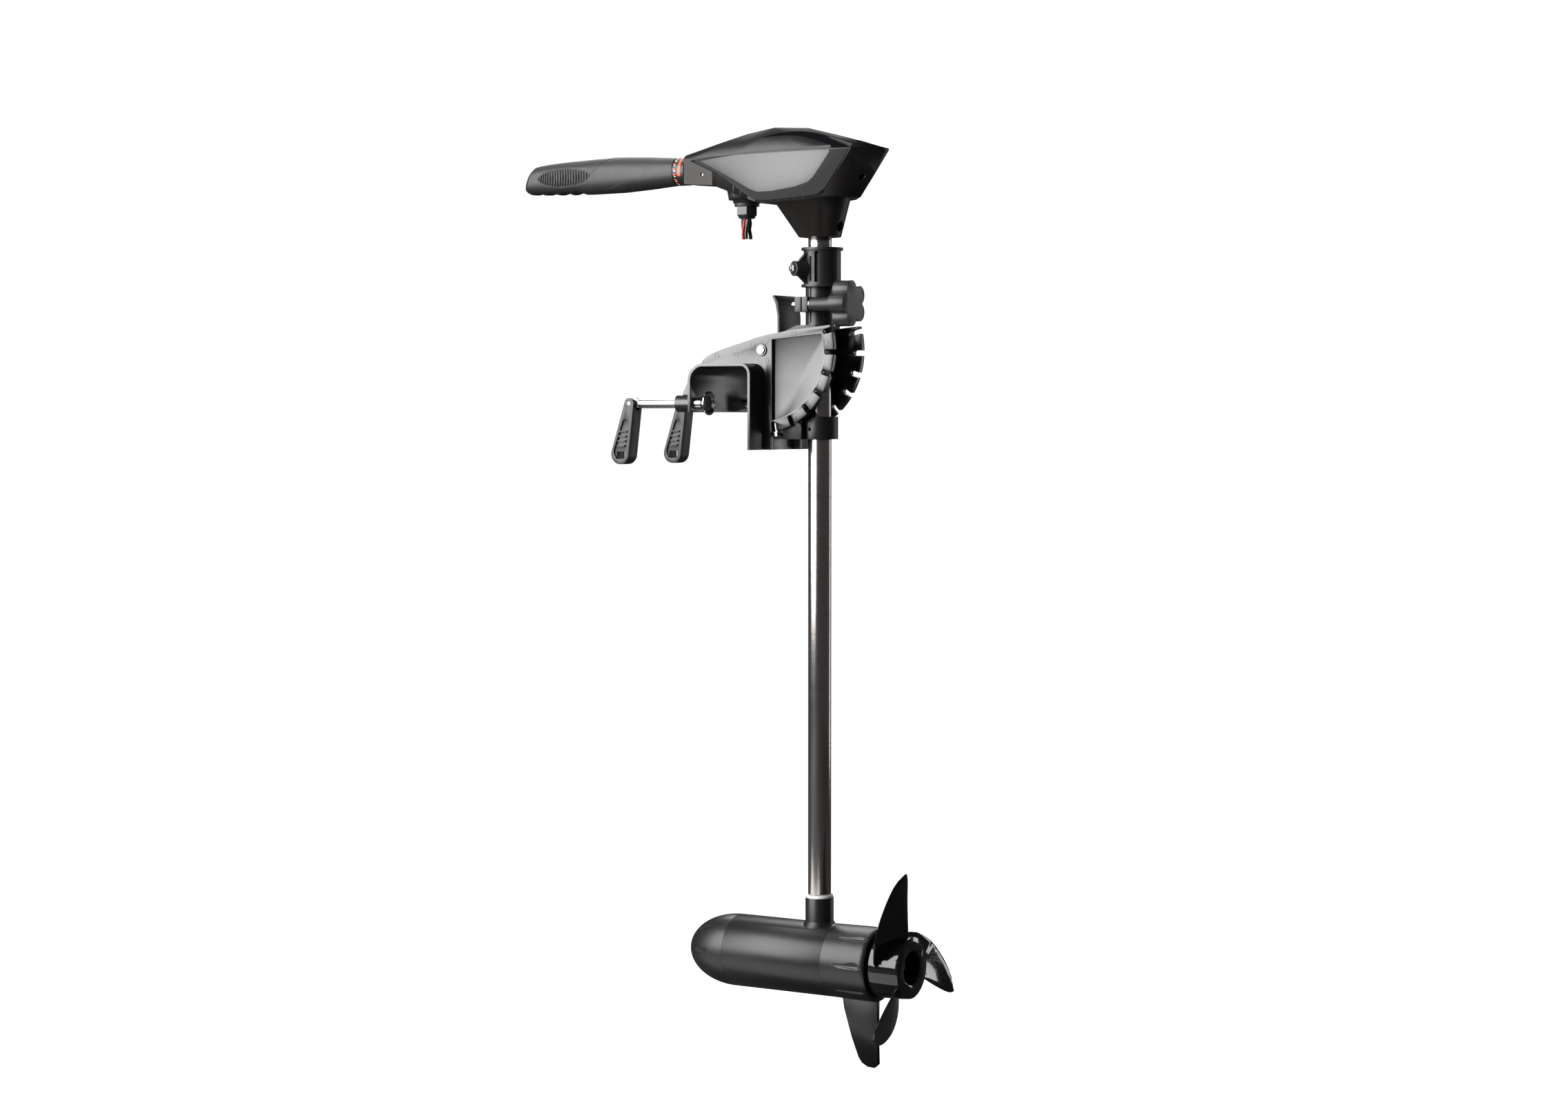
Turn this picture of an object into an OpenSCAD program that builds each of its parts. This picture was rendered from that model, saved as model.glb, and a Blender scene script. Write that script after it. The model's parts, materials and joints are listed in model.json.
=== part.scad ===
// Transom-mount electric trolling motor with a twist-grip tiller.
// Frame: +X aft, -X towards the boat, -Y port, +Z up, in millimetres. The origin is the middle
// of the transom seat, under the clamp hook. The shaft stands upright, the first tilt notch is
// the one in use, and the tilt lock is drawn pressed down, just clear of its notch.

/* [Transom clamp] */
// Clear gap of the hook, from its front wall to its web
jaw_gap = 83; // [76:1:90]
// Width of the hook, port to starboard
hook_w = 146; // [140:1:156]
// Wall thickness of the hook
shell_t = 3.5; // [3:0.5:5]
// Height of the front wall, below the seat
front_wall_h = 56; // [54:1:62]
// Height of the web, below the seat
web_h = 102; // [98:1:110]
// Half the distance over the outer faces of the two sector plates
plate_out_y = 39; // [38:0.5:42]
// Thickness of a sector plate
plate_t = 8.5; // [7.5:0.5:8.5]
// Radius of the notched rim, about the tilt pivot
rim_r = 101; // [99:0.5:104]
// Angle between two tilt notches
notch_step = 15.5; // [15:0.5:15.5]
// Number of tilt notches
notch_count = 7; // [5:1:7]
// Height of the tilt pivot above the seat
pivot_z = 20; // [19:0.5:22]

/* [Clamp screws] */
// Distance of each screw from the middle plane
screw_y = 60; // [58:0.5:62]
// Height of the screws, negative below the seat
screw_z = -45; // [-46:0.5:-44]
// Diameter of the clamp screws
screw_d = 12; // [10:0.5:12]
// Diameter of the clamp pads
pad_d = 29.5; // [24:0.5:32]
// Thickness of a handle, port to starboard
handle_t = 20; // [18:1:22]
// Diameter of the handle pins
handle_pin_d = 5; // [4:0.5:5]

/* [Shaft and swivel] */
// Outer diameter of the shaft tube
shaft_d = 28.6; // [28:0.1:29]
// Inner diameter of the shaft tube
shaft_bore_d = 24.6; // [22:0.1:25]
// Distance from the web's clamping face to the shaft axis
web_to_shaft = 59.5; // [59:0.5:62]
// Outer diameter of the upper steering sleeve
sleeve_d = 35; // [34:0.5:37]
// Outer diameter of the lower steering ring
ring_d = 45; // [42:1:48]
// Diameter of the tilt pivot pin
pivot_pin_d = 10; // [8:0.5:10]
// Diameter of the star knob over its lobes
knob_d = 57; // [52:1:58]
// How far the tilt lock bar travels into its notch
lock_travel = 13; // [12.5:0.5:13]

/* [Head and tiller] */
// Height of the parting plane between the head's shell and cover
parting_z = 260; // [259:0.5:262]
// Half width of the head
head_half_w = 42; // [40:0.5:44]
// Height of the tiller axis
tiller_z = 246; // [245:0.5:247]
// Length of the grip
grip_len = 232; // [220:1:240]
// Outer diameter of the tube inside the grip
throttle_tube_d = 18; // [16:0.5:20]

/* [Motor pod] */
// Height of the motor axis, negative below the seat
motor_z = -731; // [-760:1:-700]
// Outer diameter of the motor housing
motor_d = 90; // [88:1:94]
// Length of the nose cone
nose_len = 67.5; // [60:0.5:72]
// Diameter of the armature shaft
armature_shaft_d = 10; // [8:0.5:10]
// Diameter of the propeller hub
hub_d = 77; // [74:1:80]
// Radius of the propeller at its blade tips
prop_r = 118; // [108:1:122]
// Number of propeller blades
blade_count = 3; // [2:1:3]

/* [Hidden] */

$fn = 96;
hull_fn = 32;
overlap = 0.5;
run_gap = 0.05;
side_gap = 0.5;

// Main axes
shaft_x = jaw_gap / 2 + web_to_shaft;
pivot_x = shaft_x - 60;
shaft_r = shaft_d / 2;
front_x = -jaw_gap / 2;
web_x = jaw_gap / 2;
plate_in_y = plate_out_y - plate_t;

// Notches and lock bar
notch_half_w = 3.3;
notch_depth = 12;
first_notch_angle = -79.5;
lock_bar_r = 2.8;
lock_rest_r = rim_r + 1.6 + lock_bar_r;
lock_bar_x = pivot_x + lock_rest_r * cos(first_notch_angle);
lock_bar_z = pivot_z + lock_rest_r * sin(first_notch_angle);

// Clamp screws and handles
boss_r = 11;
boss_len = 21;
insert_r = 8;
pad_back_x = shaft_x - 131;
pad_face_x = shaft_x - 122;
handle_pin_x = shaft_x - 235;
handle_tip_x = shaft_x - 249;
handle_tip_z = screw_z - 63;
tongue_t = 8;

// Swivel bracket
cheek_in_y = 26.5;
cheek_out_y = plate_in_y - side_gap;
bush_r = shaft_r + 1;
sleeve_top_z = 96.5;
sleeve_bottom_z = 30;
ring_top_z = -61.5;
ring_bottom_z = -89;
pivot_bush_r = pivot_pin_d / 2 + 1.5;
lug_y = -40;
tension_y = -31;
tension_z = 75;
tension_screw_r = 3;
stem_r = 8.5;
lug_front_x = shaft_x - 12.2;
slit_x = shaft_x - 3.9;
slit_w = 1.8;
lug_back_x = shaft_x + 5.2;
knob_x = shaft_x + 45;
knob_t = 21;

// Depth collar, turned so that its screw faces forward of port
collar_bottom_z = 97;
collar_h = 48;
collar_r = 22.9;
collar_shift = -3.3;
collar_angle = 241;
collar_mid_z = 119;

// Head
head_front_x = shaft_x - 187;
head_rear_x = shaft_x + 93;
neck_bottom_z = 158;
wall_t = 2.6;
front_half_w = 17;
gland_x = shaft_x - 105;
gland_z = 199;

// Motor
motor_r = motor_d / 2;
motor_wall = 5;
housing_front_x = shaft_x - 116;
housing_rear_x = shaft_x + 26;
bell_rear_x = shaft_x + 87;
coupling_r = 17.6;
coupling_top_z = -655;
armature_r = 27;
shaft_bottom_z = coupling_top_z - 34;

// Propeller
hub_front_x = shaft_x + 90;
hub_rear_x = shaft_x + 130;
recess_r = 21;

// Battery leads, from the gland's face down to their cut ends, as places from the gland's axis
lead_top_z = 189;
nut_bottom_z = 184;
red_route = [[0.2, -5, 189], [0.1, -5, 187], [0, -5.1, 185], [-0.1, -5.1, 183], [-0.3, -5.1, 181],
    [-0.6, -5.1, 179], [-1, -5.1, 177], [-1.4, -5, 175], [-1.8, -4.9, 173], [-2.3, -4.8, 171],
    [-2.7, -4.7, 169], [-2.9, -4.5, 167], [-3.1, -4.4, 165], [-3.2, -4.2, 163], [-3.2, -4, 161],
    [-3.1, -3.7, 158.5]];
black_route = [[3.8, -2.6, 189], [3.8, -2.6, 187], [3.8, -2.7, 185], [3.7, -2.9, 183],
    [3.6, -3.2, 181], [3.5, -3.5, 179], [3.3, -3.9, 177], [3, -4.2, 175], [2.6, -4.5, 173],
    [2.3, -4.7, 171], [2, -4.8, 169], [1.8, -4.8, 167], [1.7, -4.8, 165], [1.7, -4.7, 163],
    [1.7, -4.6, 161], [1.9, -4.3, 158.5]];
second_route = [[-5.2, -1.7, 189], [-5.2, -1.7, 187], [-5.2, -1.7, 185], [-5.2, -1.7, 183],
    [-5.2, -1.6, 181], [-5.3, -1.5, 179], [-5.3, -1.3, 177], [-5.3, -1, 175], [-5.2, -0.7, 173],
    [-5.2, -0.3, 171], [-5.2, 0, 169], [-5.2, 0.3, 167], [-5.2, 0.6, 165], [-5.3, 0.8, 163],
    [-5.4, 0.9, 161], [-5.6, 1, 158.5]];
third_route = [[1.4, 3.9, 189], [1.5, 3.9, 187], [1.6, 3.8, 185], [1.8, 3.6, 183], [2.2, 3.5, 181],
    [2.6, 3.3, 179], [2.8, 3.1, 177], [2.8, 2.7, 175], [2.6, 2.2, 173], [2.4, 1.9, 171],
    [2.7, 1.8, 169], [3.2, 1.7, 167], [3.6, 1.7, 165], [4, 1.8, 163], [4.3, 1.9, 161],
    [4.1, 1.8, 158.5]];
red_lead_d = 3.4;
black_lead_d = 4.5;
second_lead_d = 4.1;

// ---------------------------------------------------------------- helpers

// A side-view outline, given as children in (x, z), standing from y0 to y1
module across(y0, y1) {
    translate([0, y1, 0]) rotate([90, 0, 0]) linear_extrude(y1 - y0) children();
}

// A cylinder along +X from x0 to x1
module rod_x(r, x0, x1, y = 0, z = 0) {
    translate([x0, y, z]) rotate([0, 90, 0]) cylinder(r = r, h = x1 - x0);
}

// A cylinder along +Y from y0 to y1
module rod_y(r, y0, y1, x = 0, z = 0) {
    translate([x, y0, z]) rotate([-90, 0, 0]) cylinder(r = r, h = y1 - y0);
}

// A cylinder along +Z from z0 to z1
module rod_z(r, z0, z1, x = 0, y = 0) {
    translate([x, y, z0]) cylinder(r = r, h = z1 - z0);
}

// The same shape on port and on starboard
module both_sides() {
    children();
    mirror([0, 1, 0]) children();
}

// Turn a shape made along +Z into one along +X, at the motor axis
module on_motor_axis() {
    translate([0, 0, motor_z]) rotate([0, 90, 0]) children();
}

// Points of an arc
function arc(cx, cz, r, a0, a1, n) =
    [for (i = [0 : n]) [cx + r * cos(a0 + (a1 - a0) * i / n), cz + r * sin(a0 + (a1 - a0) * i / n)]];

// Unit vector, and the ring of points about one point of a swept tube
function unit(v) = v / norm(v);
function tangent(p, i) = unit(p[min(i + 1, len(p) - 1)] - p[max(i - 1, 0)]);
function tube_ring(c, t, r, n) =
    let (u = unit(cross(t, [0, 1, 0])), w = cross(t, u))
    [for (k = [0 : n - 1]) c + r * (cos(360 * k / n) * u + sin(360 * k / n) * w)];

// A closed tube swept along a list of points
module swept_tube(p, r, n = 8) {
    rings = [for (i = [0 : len(p) - 1]) each tube_ring(p[i], tangent(p, i), r, n)];
    sides = [for (i = [0 : len(p) - 2]) for (k = [0 : n - 1])
        [i * n + k, i * n + (k + 1) % n, (i + 1) * n + (k + 1) % n, (i + 1) * n + k]];
    first = [for (k = [n - 1 : -1 : 0]) k];
    last = [for (k = [0 : n - 1]) (len(p) - 1) * n + k];
    polyhedron(points = rings, faces = concat(sides, [first, last]));
}

// ---------------------------------------------------------------- transom clamp

// Outline of the hook with its two upper corners rounded, grown outwards
module hook_outline(grow) {
    front_corner = 18 + grow;
    web_corner = 10 + grow;
    x0 = front_x - grow;
    x1 = web_x + grow;
    foot = -web_h - 20;
    translate([x0 + front_corner, grow - front_corner]) circle(front_corner);
    translate([x1 - web_corner, grow - web_corner]) circle(web_corner);
    polygon([[x0, foot], [x1, foot], [x1, grow - web_corner], [x1 - web_corner, grow],
        [x0 + front_corner, grow], [x0, grow - front_corner]]);
}

module hook_profile() {
    difference() {
        hook_outline(shell_t);
        hook_outline(0);
        translate([front_x - 20, -web_h - 40]) square([20 + jaw_gap / 2, 40 + web_h - front_wall_h]);
        translate([front_x, -web_h - 40]) square([jaw_gap + 20, 40]);
    }
}

// One tilt notch, open at the rim, along +x from the pivot
module notch(angle) {
    floor_r = rim_r - notch_depth + notch_half_w;
    translate([pivot_x, pivot_z]) rotate(angle) {
        translate([floor_r, 0]) circle(notch_half_w);
        translate([floor_r, -notch_half_w]) square([notch_depth + 6, 2 * notch_half_w]);
    }
}

module sector_outline() {
    leg_x = web_x + shell_t - overlap;
    difference() {
        union() {
            polygon([[front_x - 3, -16], [front_x - 7, -5], [front_x - 7, 2], [front_x - 3, 8.5],
                [-38, 13], [-30, 17], [-18, 21], [-4, 25], [36, 36], [60, 40], [60, -20], [-20, -20]]);
            intersection() {
                translate([pivot_x, pivot_z]) circle(rim_r);
                polygon([[leg_x, 38], [85, 44.2], [134, 49], [180, 53], [180, -140], [leg_x, -140]]);
            }
            polygon([[leg_x, 0], [leg_x + 10.5, 0], [leg_x + 9, -web_h], [leg_x, -web_h]]);
        }
        hook_outline(1);
        for (i = [0 : notch_count - 1]) notch(first_notch_angle + i * notch_step);
    }
}

// The shallow panel moulded into the outside of a sector plate
module sector_recess() {
    intersection() {
        translate([pivot_x, pivot_z]) circle(rim_r - 14);
        polygon([[pivot_x + 14.5, 33], [130, 39.5], [130, -90], [pivot_x + 14.5, -90]]);
    }
}

module sector_plate() {
    recess_depth = 6;
    difference() {
        across(-plate_out_y, -plate_in_y) sector_outline();
        across(-plate_out_y - 1, -plate_out_y + recess_depth) sector_recess();
    }
}

module screw_boss() {
    boss_front = front_x - shell_t - boss_len;
    rod_x(boss_r, boss_front, front_x - overlap, -screw_y, screw_z);
    across(-screw_y - 2.5, -screw_y + 2.5)
        polygon([[front_x - 1, -6], [front_x - 1, screw_z], [boss_front + 5, screw_z],
            [boss_front + 6, screw_z + boss_r - 1], [front_x - shell_t - 5, -16]]);
}

module clamp_bracket() {
    window_half_w = 24;
    color([0.20, 0.20, 0.21]) difference() {
        union() {
            across(-hook_w / 2, hook_w / 2) hook_profile();
            both_sides() sector_plate();
            both_sides() screw_boss();
        }
        translate([web_x - 2, -window_half_w, -84]) cube([shell_t + 4, 2 * window_half_w, 46]);
        rod_y(pivot_pin_d / 2 + run_gap, -plate_out_y - 1, plate_out_y + 1, pivot_x, pivot_z);
        both_sides() rod_x(insert_r, front_x - shell_t - boss_len - 1, front_x + 1, -screw_y, screw_z);
    }
}

module tilt_pivot_pin() {
    color("silver") rod_y(pivot_pin_d / 2, -plate_out_y - 3, plate_out_y + 3, pivot_x, pivot_z);
}

module pivot_pin_clips() {
    color("dimgray") both_sides() difference() {
        rod_y(pivot_pin_d / 2 + 2.2, -plate_out_y - 1.4, -plate_out_y, pivot_x, pivot_z);
        rod_y(pivot_pin_d / 2 + 0.02, -plate_out_y - 2, -plate_out_y + 1, pivot_x, pivot_z);
    }
}

module screw_inserts() {
    color("goldenrod") both_sides() difference() {
        rod_x(insert_r - 0.02, front_x - shell_t - boss_len, front_x, -screw_y, screw_z);
        rod_x(screw_d / 2 + 0.06, front_x - shell_t - boss_len - 1, front_x + 1, -screw_y, screw_z);
    }
}

// Cupped pad on the end of a clamp screw, on port
module clamp_pad() {
    cup_depth = 3;
    color("silver") translate([pad_back_x, -screw_y, screw_z]) rotate([0, 90, 0]) difference() {
        rotate_extrude() polygon([[0, 0], [8, 0], [9, 2], [pad_d / 2 - 1, 6.5], [pad_d / 2, 7.5],
            [pad_d / 2, 9], [pad_d / 2 - 2.5, 9], [9, 9 - cup_depth], [0, 9 - cup_depth]]);
        translate([0, 0, -1]) cylinder(r = screw_d / 2 - 2 + run_gap, h = 5);
    }
}

module clamp_screw() {
    spigot_r = screw_d / 2 - 2;
    eye_r = 6.5;
    color("lightgray") difference() {
        union() {
            rod_x(screw_d / 2, handle_pin_x + 10, pad_back_x, -screw_y, screw_z);
            rod_x(spigot_r, pad_back_x - overlap, pad_back_x + 3.5, -screw_y, screw_z);
            rod_y(eye_r, -screw_y - tongue_t / 2, -screw_y + tongue_t / 2, handle_pin_x, screw_z);
            translate([handle_pin_x, -screw_y - tongue_t / 2, screw_z - 5])
                cube([11, tongue_t, 10]);
        }
        rod_y(handle_pin_d / 2 + run_gap, -screw_y - 10, -screw_y + 10, handle_pin_x, screw_z);
    }
}

module handle_outline(inset) {
    hull() {
        translate([handle_pin_x, screw_z]) circle(6.8 - inset, $fn = hull_fn);
        translate([handle_tip_x, handle_tip_z]) circle(13 - inset, $fn = hull_fn);
    }
}

module clamp_handle() {
    recess = 2.5;
    slot_t = tongue_t + 0.8;
    window = [12, 9];
    color([0.45, 0.45, 0.48]) difference() {
        across(-screw_y - handle_t / 2, -screw_y + handle_t / 2) handle_outline(0);
        // shallow recess with a grip ladder on the outer face
        across(-screw_y - handle_t / 2 - 1, -screw_y - handle_t / 2 + recess) difference() {
            hull() {
                translate([handle_tip_x + 8.5, handle_tip_z + 38]) circle(5, $fn = hull_fn);
                translate([handle_tip_x + 0.5, handle_tip_z + 3]) circle(9.5, $fn = hull_fn);
            }
            for (i = [0 : 3])
                translate([handle_tip_x - 4.5 + 1.2 * i, handle_tip_z + 9 + 6 * i]) square([11, 2]);
        }
        // lanyard window through the lower end
        across(-screw_y - handle_t, -screw_y + handle_t)
            translate([handle_tip_x - window[0] / 2, handle_tip_z - 6]) square(window);
        // slot for the eye of the screw
        translate([handle_pin_x - 20, -screw_y - slot_t / 2, screw_z - 8.5]) cube([60, slot_t, 40]);
        rod_y(handle_pin_d / 2 + 0.02, -screw_y - handle_t, -screw_y + handle_t, handle_pin_x, screw_z);
    }
}

module handle_pin() {
    color("silver") rod_y(handle_pin_d / 2, -screw_y - handle_t / 2 - 0.4,
        -screw_y + handle_t / 2 + 0.4, handle_pin_x, screw_z);
}

module port_clamp_pad() clamp_pad();
module port_clamp_screw() clamp_screw();
module port_clamp_handle() clamp_handle();
module port_handle_pin() handle_pin();

// The starboard screw is the port one carried across; only its handle is mirrored
module starboard_clamp_pad() translate([0, 2 * screw_y, 0]) clamp_pad();
module starboard_clamp_screw() translate([0, 2 * screw_y, 0]) clamp_screw();
module starboard_clamp_handle() translate([0, 2 * screw_y, 0]) clamp_handle();
module starboard_handle_pin() translate([0, 2 * screw_y, 0]) handle_pin();

// ---------------------------------------------------------------- swivel bracket

module cheek_outline() {
    difference() {
        union() {
            translate([pivot_x, pivot_z]) circle(12.5);
            polygon([[pivot_x, pivot_z + 12.5], [shaft_x - 15, 50], [shaft_x + 11, 50],
                [shaft_x + 11, 33], [shaft_x - 15, 30], [pivot_x + 14, pivot_z - 6],
                [pivot_x + 6, pivot_z - 4]]);
            polygon([[pivot_x + 6, pivot_z - 8], [pivot_x + 6, 2], [shaft_x - 35, -68],
                [shaft_x - 35, ring_bottom_z], [shaft_x - 9, ring_bottom_z], [shaft_x - 9, -72],
                [shaft_x - 20, -60], [pivot_x + 20, pivot_z - 4], [pivot_x + 12, pivot_z]]);
        }
        translate([pivot_x, pivot_z]) circle(pivot_bush_r);
    }
}

module tension_lugs() {
    difference() {
        union() {
            translate([lug_front_x, lug_y, tension_z - 9]) cube([slit_x - lug_front_x, 26, 18]);
            translate([slit_x + slit_w, lug_y, tension_z - 9])
                cube([lug_back_x - slit_x - slit_w, 26, 18]);
        }
        rod_x(tension_screw_r + 0.3, lug_front_x - 1, lug_back_x + 1, tension_y, tension_z);
        rod_x(5.8, lug_front_x - 1, lug_front_x + 4.6, tension_y, tension_z);
    }
}

module swivel_bracket() {
    set_hole_r = 2;
    color([0.32, 0.32, 0.34]) difference() {
        union() {
            rod_z(sleeve_d / 2, sleeve_bottom_z, sleeve_top_z, shaft_x);
            rod_z(ring_d / 2, ring_bottom_z, ring_top_z, shaft_x);
            both_sides() across(-cheek_out_y, -cheek_in_y) cheek_outline();
            rod_y(10.5, -cheek_in_y - overlap, cheek_in_y + overlap, pivot_x, pivot_z);
            translate([shaft_x - 15, -cheek_out_y + 1, 32])
                cube([26, 2 * cheek_out_y - 2, 18]);
            translate([shaft_x - 35, -cheek_out_y + 1, ring_bottom_z])
                cube([26, 2 * cheek_out_y - 2, 14]);
            tension_lugs();
        }
        rod_z(bush_r, ring_bottom_z - 1, sleeve_top_z + 1, shaft_x);
        rod_y(pivot_bush_r, -cheek_out_y - 1, cheek_out_y + 1, pivot_x, pivot_z);
        translate([slit_x, -sleeve_d, 53]) cube([slit_w, sleeve_d, 60]);
        translate([shaft_x, 0, -77]) rotate([90, 0, -4]) cylinder(r = set_hole_r, h = 40);
        // hollow behind the ribs of the lower arm
        for (y = [-20, 0, 20])
            translate([shaft_x - 33, y - 8, ring_bottom_z - 1]) cube([8, 16, 12]);
    }
}

module pivot_bushes() {
    color("whitesmoke") both_sides() difference() {
        rod_y(pivot_bush_r - 0.02, -cheek_out_y, -8, pivot_x, pivot_z);
        rod_y(pivot_pin_d / 2 + run_gap, -cheek_out_y - 1, -7, pivot_x, pivot_z);
    }
}

// Plain steering bush between two heights
module steering_bush(z0, z1) {
    color("whitesmoke") difference() {
        rod_z(bush_r - 0.02, z0, z1, shaft_x);
        rod_z(shaft_r + run_gap, z0 - 1, z1 + 1, shaft_x);
    }
}

module upper_steering_bush() steering_bush(44, sleeve_top_z);
module lower_steering_bush() steering_bush(ring_bottom_z, ring_top_z);

module tension_nut() {
    color("silver") difference() {
        rod_x(5.7, lug_front_x, lug_front_x + 4.5, tension_y, tension_z);
        rod_x(tension_screw_r + 0.04, lug_front_x - 1, lug_front_x + 6, tension_y, tension_z);
    }
}

module tension_washer() {
    color("silver") difference() {
        rod_x(8, lug_back_x + 0.1, lug_back_x + 1.4, tension_y, tension_z);
        rod_x(tension_screw_r + 0.04, lug_back_x - 1, lug_back_x + 3, tension_y, tension_z);
    }
}

// Five-lobed knob with a long stem, on the steering tension screw
module star_knob() {
    lobe_r = 11.2;
    lobe_count = 5;
    color([0.22, 0.22, 0.23]) difference() {
        union() {
            rod_x(stem_r, lug_back_x + 1.6, knob_x + 1, tension_y, tension_z);
            translate([knob_x, tension_y, tension_z]) rotate([0, 90, 0]) {
                cylinder(r = 20, h = knob_t);
                for (i = [0 : lobe_count - 1])
                    rotate(54 + 360 * i / lobe_count) translate([knob_d / 2 - lobe_r, 0])
                        cylinder(r = lobe_r, h = knob_t);
            }
        }
        rod_x(tension_screw_r + 0.02, lug_back_x, knob_x + 8, tension_y, tension_z);
    }
}

module tension_screw() {
    color("silver") rod_x(tension_screw_r, lug_front_x - 8, knob_x + 7.9, tension_y, tension_z);
}

// ---------------------------------------------------------------- tilt lock

// Tall lever with a thumb lip; pushed down it draws the bar out of the notch
module release_lever() {
    lever_half_w = 25.5;
    front = shaft_x - 45.5;
    back = shaft_x - 42.5;
    color([0.16, 0.16, 0.17]) difference() {
        across(-lever_half_w, lever_half_w) union() {
            polygon([[front, -88], [back, -88], [back, 62], [back - 2, 78], [back - 8, 87.5],
                [back - 10.5, 86.5], [front - 2.5, 76], [front, 62]]);
            polygon([[front, -88], [lock_bar_x + 5, -88], [lock_bar_x + 5, -79],
                [back, -72], [front, -72]]);
        }
        rod_y(lock_bar_r + 0.02, -lever_half_w - 1, lever_half_w + 1, lock_bar_x, lock_bar_z);
    }
}

module tilt_lock_bar() {
    color("silver") rod_y(lock_bar_r, -plate_out_y + 0.5, plate_out_y - 0.5, lock_bar_x, lock_bar_z);
}

// ---------------------------------------------------------------- depth collar

module depth_collar() {
    flange_t = 3.2;
    boss_end = 37;
    color([0.36, 0.36, 0.38]) translate([shaft_x, 0, 0]) rotate([0, 0, collar_angle]) difference() {
        union() {
            rod_z(collar_r, collar_bottom_z, collar_bottom_z + collar_h, collar_shift);
            rod_z(collar_r + 2.7, collar_bottom_z, collar_bottom_z + flange_t, collar_shift);
            rod_z(collar_r + 2.7, collar_bottom_z + collar_h - flange_t, collar_bottom_z + collar_h,
                collar_shift);
            rod_x(9.2, 12, boss_end, 0, collar_mid_z);
            // gusset above and below the screw boss
            across(-2.5, 2.5) polygon([[10, collar_mid_z - 19.5], [19, collar_mid_z - 19.5],
                [boss_end - 4, collar_mid_z - 7], [boss_end - 4, collar_mid_z + 7],
                [19, collar_mid_z + 21], [10, collar_mid_z + 21]]);
            translate([8, -9, collar_mid_z - 15]) cube([12, 18, 30]);
        }
        rod_z(shaft_r + run_gap, collar_bottom_z - 1, collar_bottom_z + collar_h + 1);
        rod_x(3.05, 0, boss_end + 1, 0, collar_mid_z);
        // clamping slot in the wall
        rotate([0, 0, 47]) translate([0, -2.6, collar_bottom_z + 5.5])
            cube([40, 5.2, collar_h - 10.5]);
    }
}

module collar_screw() {
    color("silver") translate([shaft_x, 0, 0]) rotate([0, 0, collar_angle]) union() {
        rod_x(3, shaft_r + 0.3, 42.5, 0, collar_mid_z);
        translate([37.1, 0, collar_mid_z]) rotate([0, 90, 0]) cylinder(r = 5.6, h = 3.4, $fn = 6);
    }
}

// ---------------------------------------------------------------- shaft

module shaft_tube() {
    color("silver") difference() {
        rod_z(shaft_r, shaft_bottom_z, 190, shaft_x);
        rod_z(shaft_bore_d / 2, shaft_bottom_z - 1, 191, shaft_x);
    }
}

module motor_wires() {
    color("black") rod_z(4.5, shaft_bottom_z - 12, 212, shaft_x);
}

module shaft_seal_ring() {
    color("white") difference() {
        rod_z(16.8, coupling_top_z, coupling_top_z + 3.5, shaft_x);
        rod_z(shaft_r + 0.02, coupling_top_z - 1, coupling_top_z + 5, shaft_x);
    }
}

// ---------------------------------------------------------------- head

// Half width of the head at a distance aft of the tiller joint
function head_half(x) =
    x >= shaft_x ? head_half_w
    : front_half_w + (head_half_w - front_half_w) * sin(90 * (x - head_front_x) / (shaft_x - head_front_x));

// Plan outline of the head, drawn in by an inset
module head_plan(inset) {
    steps = 16;
    x0 = head_front_x + inset;
    side = [for (i = [0 : steps]) let (x = x0 + (shaft_x - x0) * i / steps) [x, head_half(x) - inset]];
    tail = [[shaft_x + 67 - inset, head_half_w - inset], [head_rear_x - inset, 6]];
    half = concat(side, tail);
    mirrored = [for (i = [len(half) - 1 : -1 : 0]) [half[i][0], -half[i][1]]];
    polygon(concat(half, mirrored));
}

// Side outline of the lower shell, drawn in by an inset
module lower_side(inset) {
    x0 = head_front_x + inset;
    polygon([[x0, parting_z], [x0, 229 + inset], [shaft_x - 139, 225 + inset],
        [shaft_x - 64, 199.5 + inset], [shaft_x, 201.5 + inset], [shaft_x + 27, 205 + inset],
        [shaft_x + 61 - inset, 205 + inset], [head_rear_x - inset, 258], [head_rear_x - inset, parting_z]]);
}

// The raked facet on each rear quarter
module tail_cut(inset) {
    both_sides() translate([shaft_x + 67 - inset, -head_half_w, parting_z])
        rotate([0, 30.4, -35.8]) translate([0, -150, -150]) cube([200, 300, 300]);
}

module lower_solid(inset) {
    difference() {
        intersection() {
            translate([0, 0, 190]) linear_extrude(parting_z - 190) head_plan(inset);
            across(-60, 60) lower_side(inset);
        }
        tail_cut(inset);
    }
}

// Neck that flares from the shaft up into the head
module neck_solid(inset) {
    hull() {
        translate([shaft_x, 0, neck_bottom_z + inset]) cylinder(r = 26 - inset, h = 1, $fn = hull_fn);
        for (x = [shaft_x - 27, shaft_x + 4])
            translate([x, 0, 204]) cylinder(r = 34 - inset, h = 1 + inset, $fn = hull_fn);
    }
}

// Points fixing the cover's crown: distance aft of the shaft, height
crown = [[-187, 265.5], [-139, 275.7], [-89, 286], [-49, 291.5], [0, 288.5], [39, 279], [68, 271],
    [92, 262.5]];

module cover_solid(inset) {
    hull() {
        translate([0, 0, parting_z]) linear_extrude(1.5) head_plan(inset);
        for (p = crown) {
            x = min(shaft_x + p[0] + (p[0] < -100 ? inset : 0), head_rear_x - inset);
            half = (p[0] > 80 ? 5 : head_half(x) * 0.66) - inset;
            translate([x, -half, parting_z]) cube([0.5, 2 * half, p[1] - parting_z - inset]);
        }
    }
}

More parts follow.
